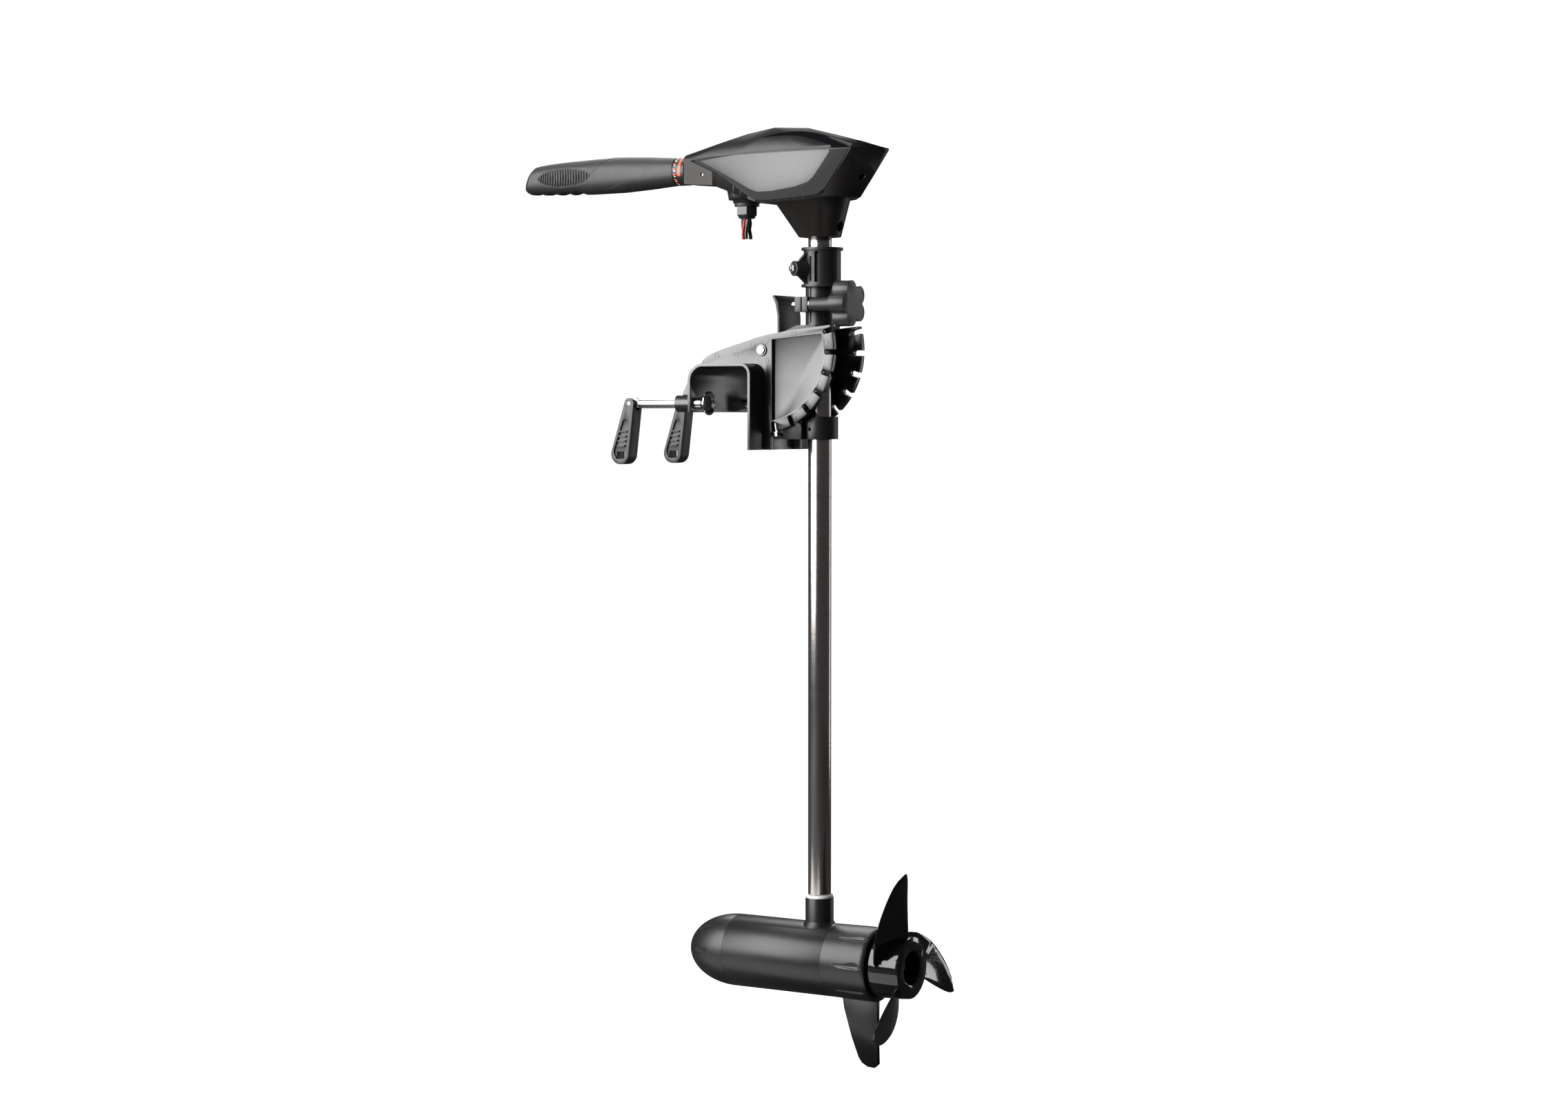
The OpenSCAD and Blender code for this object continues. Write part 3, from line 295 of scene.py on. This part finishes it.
def make_materials():
    """One finish for each of the record's slots."""
    return {
        "bracket_plastic": plastic("bracket_plastic", (0.007, 0.007, 0.008), 0.30, 0.2, sheen=0.8),
        "handle_plastic": plastic("handle_plastic", (0.012, 0.012, 0.013), 0.46),
        "swivel_plastic": plastic("swivel_plastic", (0.008, 0.008, 0.009), 0.42),
        "lever_plastic": plastic("lever_plastic", (0.007, 0.007, 0.008), 0.45),
        "knob_plastic": plastic("knob_plastic", (0.010, 0.010, 0.011), 0.42),
        "collar_plastic": plastic("collar_plastic", (0.012, 0.012, 0.013), 0.45),
        "shell_plastic": plastic("shell_plastic", (0.017, 0.0155, 0.0145), 0.42, 0.3, sheen=0.22),
        "cover_plastic": plastic("cover_plastic", (0.008, 0.0075, 0.007), 0.30, 0.3, sheen=0.3),
        "panel_silver": panel_paint_and_shade(),
        "trim_gloss": gloss("trim_gloss", (0.004, 0.004, 0.005), sheen=0.07),
        "scale_plastic": plastic("scale_plastic", (0.012, 0.012, 0.012), 0.35),
        "switch_plastic": plastic("switch_plastic", (0.10, 0.10, 0.10), 0.5),
        "grip_rubber": rubber("grip_rubber", (0.010, 0.0095, 0.009), 0.48),
        "gland_rubber": rubber("gland_rubber", (0.010, 0.010, 0.010), 0.5),
        "gland_nut_plastic": plastic("gland_nut_plastic", (0.020, 0.021, 0.024), 0.18, 0.15),
        "wire_rubber": rubber("wire_rubber", (0.008, 0.008, 0.008), 0.4),
        "bush_nylon": plastic("bush_nylon", (0.62, 0.60, 0.54), 0.4),
        "seal_white": plastic("seal_white", (0.72, 0.73, 0.70), 0.4),
        "red_lead": rubber("red_lead", (0.36, 0.012, 0.01), 0.4),
        "black_lead": rubber("black_lead", (0.006, 0.006, 0.006), 0.3),
        "zinc_steel": metal("zinc_steel", (0.62, 0.62, 0.63), 0.26, (500, 500, 2500)),
        "chrome_steel": metal("chrome_steel", (0.75, 0.76, 0.78), 0.10),
        "spring_steel": metal("spring_steel", (0.12, 0.12, 0.125), 0.35),
        "bearing_steel": metal("bearing_steel", (0.55, 0.55, 0.57), 0.22),
        "shaft_steel": metal("shaft_steel", (0.50, 0.47, 0.45), 0.17, (14, 14, 5200), 0.25, 0.35),
        "brass": metal("brass", (0.10, 0.085, 0.06), 0.45),
        "tube_aluminium": metal("tube_aluminium", (0.60, 0.61, 0.62), 0.3),
        "motor_paint": powder_coat("motor_paint", (0.010, 0.010, 0.011), 0.34),
        "skeg_plastic": plastic("skeg_plastic", (0.005, 0.005, 0.006), 0.28, sheen=0.3),
        "magnet_ferrite": plastic("magnet_ferrite", (0.05, 0.05, 0.05), 0.7),
        "core_iron": metal("core_iron", (0.30, 0.22, 0.16), 0.45, (3000, 60, 60)),
        "brush_board": plastic("brush_board", (0.30, 0.20, 0.09), 0.55),
        "propeller_gloss": gloss("propeller_gloss", (0.005, 0.005, 0.006), 0.05),
        "mark_red": plastic("mark_red", (0.72, 0.06, 0.02), 0.35),
        "mark_white": plastic("mark_white", (0.75, 0.75, 0.74), 0.4),
    }


def panel_paint_and_shade():
    """Metallic grey paint with fine flakes; painted shade darkens its colour towards the tiller, where
    the reflection of the light falls off.
    """
    n = Nodes("panel_silver")
    parts = n.add("ShaderNodeSeparateXYZ", Vector=n.coords)
    # Painted shade: a ramp along the head from dark at the tiller end to lighter just aft of the shaft.
    along = n.span(parts.outputs["X"], 0, 1, SHAFT_X - 130 * MM, SHAFT_X + 20 * MM)
    flake = n.noise(2600, 1)
    base = n.blend(along, (0.012, 0.0115, 0.011), (0.075, 0.073, 0.072))
    n.set(Base_Color=n.blend(n.span(flake, 0, 0.5, 0.45, 0.75), base, (0.16, 0.155, 0.155)),
          Roughness=n.span(flake, 0.30, 0.42), Normal=n.bump(flake, 0.12, 0.00006))
    n.shader.inputs["Metallic"].default_value = 0.15
    return n.material


MATERIALS = make_materials()


def paint(obj, slot):
    """Give a piece the finish of one of the record's slots."""
    obj.data.materials.clear()
    obj.data.materials.append(MATERIALS[slot])
    return obj


# ---------------------------------------------------------------- CAD nodes that stay

SLOTS = {part["node"]: part["material_slot"] for part in frame["record"]["subparts"]}
BODIES = {node: body for body, nodes in frame["record"]["behaviour"]["bodies"].items() for node in nodes}
BEVELS = {
    "clamp_bracket": 0.6, "swivel_bracket": 0.6, "release_lever": 0.6, "star_knob": 2.6,
    "depth_collar": 0.6, "port_clamp_handle": 0.3, "starboard_clamp_handle": 0.3,
    "head_lower_shell": 0.7, "head_upper_cover": 0.9, "side_panels": 0.25, "side_trims": 0.25,
    "propeller": 0.25, "skeg": 1.2, "motor_housing": 0.25, "rear_bell": 0.25, "nose_cone": 0.25,
}


def dress(node):
    """Finish one CAD node: its slot's material, softened edges and smooth shading."""
    obj = NODES[node]
    obj.data.materials.clear()
    obj.data.materials.append(MATERIALS[SLOTS[node]])
    smooth(obj)
    soften(obj, BEVELS.get(node, 0.25))


for name in NODES:
    dress(name)


# ---------------------------------------------------------------- tools for pieces

def settle(obj, slot, body, *nodes):
    """Finish a new piece, let it ride on its body and stand for some CAD nodes."""
    paint(obj, slot)
    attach(obj, body)
    if nodes:
        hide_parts(*nodes)
    return obj


def skin(bm, rings, caps=True):
    """Faces through rings of points that all have the same count."""
    loops = [[bm.verts.new(p) for p in ring] for ring in rings]
    count = len(rings[0])
    for a, b in zip(loops, loops[1:]):
        for k in range(count):
            bm.faces.new((a[k], a[(k + 1) % count], b[(k + 1) % count], b[k]))
    if caps:
        bm.faces.new(loops[0][::-1])
        bm.faces.new(loops[-1])


def loft(name, *solids, angle=40):
    """One mesh of closed solids, each given as its rings."""
    bm = bmesh.new()
    for rings in solids:
        skin(bm, rings)
    bmesh.ops.recalc_face_normals(bm, faces=bm.faces)
    obj = from_bmesh(name, bm)
    smooth(obj, angle)
    return obj


def circle(middle, across, up, count=20):
    """Ring of points about a middle, from two half axes."""
    turns = [2 * math.pi * k / count for k in range(count)]
    return [middle + across * math.cos(t) + up * math.sin(t) for t in turns]


def tube(path, radius, count=8):
    """Rings of a round tube along a list of points."""
    rings = []
    for i, point in enumerate(path):
        way = (path[min(i + 1, len(path) - 1)] - path[max(i - 1, 0)]).normalized()
        across = way.cross(Vector((0.3, 0.5, 0.81))).normalized()
        rings.append(circle(point, across * radius, way.cross(across) * radius, count))
    return rings


def slab(corners, push):
    """A flat solid: its outline and the same outline moved by a vector."""
    return [[c + push for c in corners], corners]


def carve(node, name, *cutters):
    """A copy of a CAD node with solids cut out of it, which stands for the node."""
    tool = loft(name + "_tool", *cutters)
    piece = new_object(name, NODES[node].data.copy())
    weld_points(piece)
    cut = piece.modifiers.new("cut", "BOOLEAN")
    cut.object = tool
    cut.solver = "EXACT"
    made = piece.evaluated_get(bpy.context.evaluated_depsgraph_get())
    mesh = bpy.data.meshes.new_from_object(made)
    piece.modifiers.clear()
    piece.data = mesh
    bpy.data.objects.remove(tool)
    smooth(piece)
    return settle(piece, SLOTS[node], BODIES[node], node)


# ---------------------------------------------------------------- battery leads

GLAND = centre("cable_gland")
RED_ROUTE = [(0.2, -5, 189), (0.1, -5, 187), (0, -5.1, 185), (-0.1, -5.1, 183), (-0.3, -5.1, 181),
             (-0.6, -5.1, 179), (-1, -5.1, 177), (-1.4, -5, 175), (-1.8, -4.9, 173), (-2.3, -4.8, 171),
             (-2.7, -4.7, 169), (-2.9, -4.5, 167), (-3.1, -4.4, 165), (-3.2, -4.2, 163),
             (-3.2, -4, 161), (-3.1, -3.7, 158.5)]
BLACK_ROUTE = [(3.8, -2.6, 189), (3.8, -2.6, 187), (3.8, -2.7, 185), (3.7, -2.9, 183),
               (3.6, -3.2, 181), (3.5, -3.5, 179), (3.3, -3.9, 177), (3, -4.2, 175), (2.6, -4.5, 173),
               (2.3, -4.7, 171), (2, -4.8, 169), (1.8, -4.8, 167), (1.7, -4.8, 165), (1.7, -4.7, 163),
               (1.7, -4.6, 161), (1.9, -4.3, 158.5)]
SECOND_ROUTE = [(-5.2, -1.7, 189), (-5.2, -1.7, 187), (-5.2, -1.7, 185), (-5.2, -1.7, 183),
                (-5.2, -1.6, 181), (-5.3, -1.5, 179), (-5.3, -1.3, 177), (-5.3, -1, 175),
                (-5.2, -0.7, 173), (-5.2, -0.3, 171), (-5.2, 0, 169), (-5.2, 0.3, 167),
                (-5.2, 0.6, 165), (-5.3, 0.8, 163), (-5.4, 0.9, 161), (-5.6, 1, 158.5)]
THIRD_ROUTE = [(1.4, 3.9, 189), (1.5, 3.9, 187), (1.6, 3.8, 185), (1.8, 3.6, 183), (2.2, 3.5, 181),
               (2.6, 3.3, 179), (2.8, 3.1, 177), (2.8, 2.7, 175), (2.6, 2.2, 173), (2.4, 1.9, 171),
               (2.7, 1.8, 169), (3.2, 1.7, 167), (3.6, 1.7, 165), (4, 1.8, 163), (4.3, 1.9, 161),
               (4.1, 1.8, 158.5)]


def make_lead(name, node, route, diameter, slot):
    """A battery lead as a round curve along its route, given from the gland's axis in mm."""
    points = [Vector((GLAND.x + x * MM, y * MM, z * MM)) for x, y, z in route]
    curve = bpy.data.curves.new(name, "CURVE")
    curve.dimensions = "3D"
    curve.bevel_depth = diameter / 2
    curve.bevel_resolution = 5
    curve.use_fill_caps = True
    spline = curve.splines.new("POLY")
    spline.points.add(len(points) - 1)
    for knot, point in zip(spline.points, points):
        knot.co = (*point, 1)
    spline.use_smooth = True
    lead = settle(new_object(name, curve), slot, "power_unit", node)


make_lead("red_lead", "red_battery_lead", RED_ROUTE, 3.4 * MM, "red_lead")
make_lead("black_lead", "black_battery_lead", BLACK_ROUTE, 4.5 * MM, "black_lead")
make_lead("second_lead", "second_black_lead", SECOND_ROUTE, 4.1 * MM, "black_lead")
make_lead("third_lead", "third_black_lead", THIRD_ROUTE, 4.5 * MM, "black_lead")


# ---------------------------------------------------------------- tiller grip

GRIP_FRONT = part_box("tiller_grip")[1].x
# Distance from the ring, half width, half height and rise of the middle, in mm
GRIP_STATIONS = [(0, 17.4, 17.4, 0), (40, 18.7, 20.4, -0.3), (80, 19.4, 22.6, -0.6),
                 (125, 19.4, 22.4, -1.3), (165, 19, 21.4, -1.9), (200, 18.2, 19.8, -2.4),
                 (216, 17.8, 19, -2.7), (225, 16.8, 18, -3), (229.5, 14.4, 15.6, -3.4),
                 (231.5, 10, 11, -3.8)]
GRIP_SQUARENESS = 2.3
RIB_PATCH = {"middle": 165, "half_length": 43, "half_height": 11.5, "pitch": 4.1, "depth": 1.3}
# Finger scallops along the foot, and how far the end slants back towards its top
FINGERS = (148, 169, 190, 212)
FINGER_RADIUS = 12
FINGER_DROP = 31.6
END_LEAN = {"start": 190, "slope": 0.42, "below": 15}
# Paths of the moulding's parting lines, as (distance, turn)
SEAMS = [[(88, 92), (100, 60), (108, 40), (116, 18), (130, -4), (150, -26), (175, -38)],
         [(14, -5), (40, -8), (62, -20), (84, -38), (105, -55)]]


def along_stations(t):
    """Grip section at a distance from its front end, eased between its stations."""
    for a, b in zip(GRIP_STATIONS, GRIP_STATIONS[1:]):
        if t <= b[0]:
            k = (t - a[0]) / (b[0] - a[0])
            return [u + (v - u) * k for u, v in zip(a[1:], b[1:])]
    return list(GRIP_STATIONS[-1][1:])


def rib_depth(t, rise):
    """Depth of the moulded grooves of the oval patch on each side of the grip."""
    u = (t - RIB_PATCH["middle"]) / RIB_PATCH["half_length"]
    v = rise / RIB_PATCH["half_height"]
    inside = 1 - u * u - v * v
    if inside <= 0:
        return 0
    bend = 1.6 * (1 - v * v)
    wave = 0.5 - 0.5 * math.cos(2 * math.pi * (t + bend) / RIB_PATCH["pitch"])
    return RIB_PATCH["depth"] * min(1, inside * 8) * wave ** 2


def on_grip(t, turn, proud=0.0):
    """Point of the grip's surface; turn 0 is starboard, 90 degrees up, 180 degrees port."""
    half_w, half_h, rise = along_stations(t)
    c, s = math.cos(turn), math.sin(turn)
    square = (abs(c) ** GRIP_SQUARENESS + abs(s) ** GRIP_SQUARENESS) ** (-1 / GRIP_SQUARENESS)
    y, z = half_w * c * square, half_h * s * square
    y -= math.copysign(rib_depth(t, z), y) if abs(c) > 0.5 else 0
    z += rise
    for finger in FINGERS:
        reach = FINGER_RADIUS ** 2 - (t - finger) ** 2
        if z < 0 and reach > 0:
            z = max(z, -FINGER_DROP + math.sqrt(reach))
    grow = 1 + proud / half_w
    nearness = max(0, t - END_LEAN["start"]) / (GRIP_STATIONS[-1][0] - END_LEAN["start"])
    lean = END_LEAN["slope"] * nearness
    t -= lean * max(0, z + END_LEAN["below"])
    return Vector((GRIP_FRONT - t * MM, y * grow * MM, TILLER_Z + z * grow * MM))


def make_grip():
    """The sleeve, with finer steps where the ribs and scallops are, and thin dark tubes along its
    parting lines as painted shade of their grooves.
    """
    coarse, fine, fine_from = 3.0, 0.5, 119
    steps, t = [], 0.0
    while t < GRIP_STATIONS[-1][0]:
        steps.append(t)
        t += fine if t > fine_from else coarse
    steps.append(GRIP_STATIONS[-1][0])
    turns = [2 * math.pi * k / 88 for k in range(88)]
    grip = loft("grip_sleeve", [[on_grip(t, a) for a in turns] for t in steps], angle=60)
    settle(grip, "grip_rubber", "grip", "tiller_grip")
    seams = []
    for side in (-1, 1):
        for path in SEAMS:
            line = []
            for (t0, a0), (t1, a1) in zip(path, path[1:]):
                for k in range(8):
                    turn = math.radians(a0 + (a1 - a0) * k / 8)
                    turn = math.pi - turn if side < 0 else turn
                    line.append(on_grip(t0 + (t1 - t0) * k / 8, turn, 0.02))
            seams.append(tube(line, 0.28 * MM, 6))
    # Painted shade: thin tubes of the darker wire rubber stand for the shade in the parting lines'
    # grooves.
    settle(loft("grip_seam_shade_lines", *seams), "wire_rubber", "grip")


make_grip()


# ---------------------------------------------------------------- speed scale

RING_LOW, RING_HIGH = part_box("scale_ring")
RING_RADIUS = (RING_HIGH.y - RING_LOW.y) / 2


MARK_SUNK, MARK_PROUD = 0.3, 0.15
MARK_TURNS = range(-66, 110, 22)


def ring_patch(x0, x1, start, end, narrow0=0.0):
    """A thin patch on the scale ring between two places and two turns; narrow0 narrows its start."""
    steps = max(2, int(abs(end - start) / 4))
    outline_a, outline_b = [], []
    for k in range(steps + 1):
        turn = math.radians(start + (end - start) * k / steps)
        radial = Vector((0, -math.cos(turn), math.sin(turn)))
        narrow = narrow0 * (1 - k / steps)
        for x, rows in ((x0 + narrow, outline_a), (x1, outline_b)):
            rows.append([Vector((RING_HIGH.x - x * MM, 0, TILLER_Z)) + radial * (RING_RADIUS + g * MM)
                         for g in (-MARK_SUNK, MARK_PROUD)])
    return [[a[0], a[1], b[1], b[0]] for a, b in zip(outline_a, outline_b)]


def make_scale():
    """A band that widens downwards, with a row of bars and ticks beside it."""
    band = ring_patch(9.6, 5.0, 75, -22, -2.6)
    bars = [ring_patch(16.2, 12.2, turn + 4, turn + 8) for turn in MARK_TURNS]
    ticks = [ring_patch(14.4, 12.2, turn - 3, turn) for turn in MARK_TURNS]
    for name, patches, finish in (("speed_band", [band, *bars], "mark_red"),
                                  ("speed_ticks", ticks, "mark_white")):
        marks = settle(loft(name, *patches), "scale_plastic", "throttle")
        marks.data.materials[0] = MATERIALS[finish]


make_scale()


# ---------------------------------------------------------------- head

def surface_finder(*nodes):
    """Function that finds how far the head's side stands out at a place of its side view."""
    graph = bpy.context.evaluated_depsgraph_get()
    trees = [BVHTree.FromObject(NODES[node], graph) for node in nodes]

    def find(x, z, side):
        start = Vector((SHAFT_X + x * MM, side * 80 * MM, z * MM))
        hits = [tree.ray_cast(start, Vector((0, -side, 0))) for tree in trees]
        reach = [abs(hit[0].y) for hit in hits if hit[0] is not None]
        return max(reach) if reach else None
    return find


def strip_between(lower, upper, x, count):
    """Heights across a strip at one place, from its two edges given as (x, z) points."""
    ends = []
    for edge in (lower, upper):
        for (x0, z0), (x1, z1) in zip(edge, edge[1:]):
            if x0 <= x <= x1:
                ends.append(z0 + (z1 - z0) * (x - x0) / (x1 - x0))
                break
    return [ends[0] + (ends[1] - ends[0]) * k / count for k in range(count + 1)]


def lay_strip(find, lower, upper, proud, side, steps=60, rows=8):
    """A thin strip laid on the head's side between two edges."""
    x0, x1 = max(lower[0][0], upper[0][0]), min(lower[-1][0], upper[-1][0])
    rings = []
    for i in range(steps + 1):
        x = x0 + (x1 - x0) * i / steps
        front, back = [], []
        for z in strip_between(lower, upper, x, rows):
            reach = find(x, z, side)
            if reach is None:
                break
            front.append(Vector((SHAFT_X + x * MM, side * (reach + proud * MM), z * MM)))
            back.append(Vector((SHAFT_X + x * MM, side * (reach - 0.8 * MM), z * MM)))
        if len(front) == rows + 1:
            rings.append(front + back[::-1])
    return rings


# Edges of the gloss band and of the painted highlight strip on the head's side, as (x, z) in mm
BAND_TOP = [(-66, 279.9), (-57, 281.7), (-46, 283.6), (-35, 284.6), (-22, 285.2), (-9, 284.9),
            (2, 283.7), (13, 281.4), (27, 277.8), (41, 273.4), (53, 269.8), (66.5, 265.6)]
BAND_FOOT = [(-66, 279.6), (-57, 280.4), (-46, 281), (-35, 281), (-24, 280.7), (-13, 279.6), (-2, 277.6),
             (10, 274.6), (19, 271.6), (28, 268.6), (39, 264.8), (42, 261.8), (66.5, 261.7)]
GLINT_TOP = [(-110, 261.9), (-93, 262.2), (-51, 263.2), (-9, 264.7), (38.6, 265.4)]
GLINT_FOOT = [(-110, 261.6), (-51, 261.7), (-9, 261.8), (38.6, 261.8)]


def make_head_trim():
    """A gloss band over the cover, and a lighter strip along its lower edge on both sides as a painted
    highlight of the chamfer there.
    """
    find = surface_finder("head_upper_cover", "head_lower_shell")
    bands = [lay_strip(find, BAND_FOOT, BAND_TOP, 0.45, side) for side in (-1, 1)]
    settle(loft("cover_bands", *bands), "trim_gloss", "power_unit")
    # Painted highlight: a thin strip of the lighter panel paint where the cover's chamfer catches the
    # light.
    glints = [lay_strip(find, GLINT_FOOT, GLINT_TOP, 0.35, side) for side in (-1, 1)]
    settle(loft("cover_painted_highlights", *glints), "panel_silver", "power_unit")


WELL_RADIUS = 3.4 * MM


def make_lower_shell():
    """The lower shell with a deep screw well in each raked rear facet."""
    turn = Vector((0, WELL_RADIUS, 0)), Vector((0, 0, WELL_RADIUS))
    wells = [[circle(at(x, side * 11.5, 228), *turn) for x in (56, 80)] for side in (-1, 1)]
    carve("head_lower_shell", "head_shell", *wells)


make_head_trim()
make_lower_shell()


# ---------------------------------------------------------------- motor pod

FLUTE_ANGLES = [math.radians(4 + 45 * k) for k in range(8)]
HOUSING_LOW, HOUSING_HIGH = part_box("motor_housing")
POD_RADIUS = (HOUSING_HIGH.y - HOUSING_LOW.y) / 2
NOSE_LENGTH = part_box("nose_cone")[1].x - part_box("nose_cone")[0].x


def flute(turn, stations):
    """A cutter lying in the pod's surface: each station is place aft, radius and depth, in mm."""
    radial = Vector((0, -math.cos(turn), math.sin(turn)))
    aside = Vector((0, math.sin(turn), math.cos(turn)))
    rings = []
    for x, surface, radius, depth in stations:
        middle = Vector((SHAFT_X + x * MM, 0, MOTOR_Z)) + radial * (surface + (radius - depth) * MM)
        rings.append(circle(middle, aside * radius * MM, radial * radius * MM, 16))
    return rings


# Stations of a drop-shaped flute on the bell: place aft of the shaft, radius and depth, in mm
BELL_FLUTE = [(43, 0.2, 0), (50, 1.1, 0.3), (57, 2, 0.65), (64, 2.9, 1), (71, 3.7, 1.35), (75, 4, 1.45),
              (78, 3.7, 1.3), (80, 2.9, 0.9), (81.2, 1.7, 0.3)]
# A shallow dimple on the nose: its place before the housing, half length, radius and depth, in mm
DIMPLE = {"place": 34, "half_length": 12, "radius": 4.6, "depth": 1.2, "steps": 10}


def make_pod():
    """The bell with its flutes and the nose with its dimples."""
    stations = [(x, POD_RADIUS, radius, depth) for x, radius, depth in BELL_FLUTE]
    carve("rear_bell", "bell", *[flute(turn, stations) for turn in FLUTE_ANGLES])
    front = (HOUSING_LOW.x - SHAFT_X) / MM
    dents = []
    for k in range(DIMPLE["steps"] + 1):
        u = -0.98 + 1.96 * k / DIMPLE["steps"]
        x = front - DIMPLE["place"] + DIMPLE["half_length"] * u
        along = (front - x) * MM / NOSE_LENGTH
        swell = 1 - u * u
        dents.append((x, POD_RADIUS * math.sqrt(1 - along * along),
                      DIMPLE["radius"] * math.sqrt(swell) + 0.1, DIMPLE["depth"] * swell))
    carve("nose_cone", "nose", *[flute(turn, dents) for turn in FLUTE_ANGLES])


make_pod()


# ---------------------------------------------------------------- clamp details

PLATE_Y = 39
EJECTOR_MARKS = [(-124.4, 13.9), (-96.5, 14.5), (-72.1, 27.1), (-13.8, 39.8), (32.1, 29),
                 (-52.5, 7.1), (23.4, -21.5), (-7.9, -60.7)]
EJECTOR_RADIUS = 2.9 * MM


def make_ejector_marks():
    """Faint round marks that the moulding pins left on the outer faces of the sector plates."""
    rings = []
    for side in (-1, 1):
        for x, z in EJECTOR_MARKS:
            middle = at(x, side * (PLATE_Y + 0.05), z)
            path = circle(middle, Vector((EJECTOR_RADIUS, 0, 0)), Vector((0, 0, EJECTOR_RADIUS)), 28)
            rings.append(tube(path + path[:2], 0.16 * MM, 6))
    settle(loft("ejector_marks", *rings), SLOTS["clamp_bracket"], BODIES["clamp_bracket"])


make_ejector_marks()


# ---------------------------------------------------------------- studio

# Bearing from the camera, height, distance, size and radiance of each softbox
SOFTBOXES = {
    "left_box": (-66, 20, 2.4, (2.3, 2.3), 9),
    "right_strip": (121, 4, 2.4, (0.3, 2.0), 4),
    "top_box": (-150, 68, 2.1, (1.5, 0.9), 4),
    "back_box": (180, 36, 2.4, (1.5, 1.1), 5),
}


def area_light(name, place, aim, size, radiance):
    """A softbox, given the radiance of its face; the camera doesn't see it."""
    data = bpy.data.lights.new(name, "AREA")
    data.shape = "RECTANGLE"
    data.size, data.size_y = size
    data.energy = radiance * size[0] * size[1] * math.pi
    lamp = bpy.data.objects.new(name, data)
    bpy.context.scene.collection.objects.link(lamp)
    lamp.location = place
    lamp.rotation_euler = (Vector(aim) - Vector(place)).to_track_quat("-Z", "Y").to_euler()
    lamp.visible_camera = False


def make_lights():
    """Softboxes round the object, and the glow of the white table under it."""
    middle = at(-20, 0, -280)
    for name, (angle, height, distance, size, radiance) in SOFTBOXES.items():
        area_light(name, middle + bearing(angle, height) * distance, middle, size, radiance)
    table = Vector((SHAFT_X, 0, CAD_BOX[0].z)) + bearing(-64) * 0.30
    area_light("table_glow", table, table + Vector((0, 0, 1)), (0.7, 0.3), 1.6)


def make_floor():
    """A round pale floor, which the camera sees white and the object reflects dark."""
    bm = bmesh.new()
    bmesh.ops.create_circle(bm, cap_ends=True, segments=128, radius=1.6)
    floor = from_bmesh("floor", bm)
    floor.location = (SHAFT_X, 0, CAD_BOX[0].z - 2 * MM)
    n = Nodes("floor_paint")
    seen = n.add("ShaderNodeLightPath").outputs["Is Camera Ray"]
    pale = n.blend(n.noise(0.7), (0.30, 0.30, 0.30), (0.32, 0.32, 0.32))
    n.set(Base_Color=n.blend(seen, (0.03, 0.03, 0.03), pale), Roughness=0.9,
          Emission_Color=(1, 1, 1, 1), Emission_Strength=n.span(seen, 0, 0.85))
    floor.data.materials.append(n.material)


def make_world():
    """White behind the object, and a dim room in its reflections."""
    world = bpy.data.worlds.new("studio")
    world.use_nodes = True
    tree = world.node_tree
    room = tree.nodes["Background"]
    room.inputs["Color"].default_value = (0.96, 0.97, 1, 1)
    room.inputs["Strength"].default_value = 0.07
    white = tree.nodes.new("ShaderNodeBackground")
    white.inputs["Color"].default_value = (1, 1, 1, 1)
    white.inputs["Strength"].default_value = 1.05
    ray = tree.nodes.new("ShaderNodeLightPath")
    mix = tree.nodes.new("ShaderNodeMixShader")
    tree.links.new(ray.outputs["Is Camera Ray"], mix.inputs[0])
    tree.links.new(room.outputs[0], mix.inputs[1])
    tree.links.new(white.outputs[0], mix.inputs[2])
    tree.links.new(mix.outputs[0], tree.nodes["World Output"].inputs["Surface"])
    bpy.context.scene.world = world


make_world()
make_lights()
make_floor()
bpy.context.scene.view_settings.view_transform = "Standard"
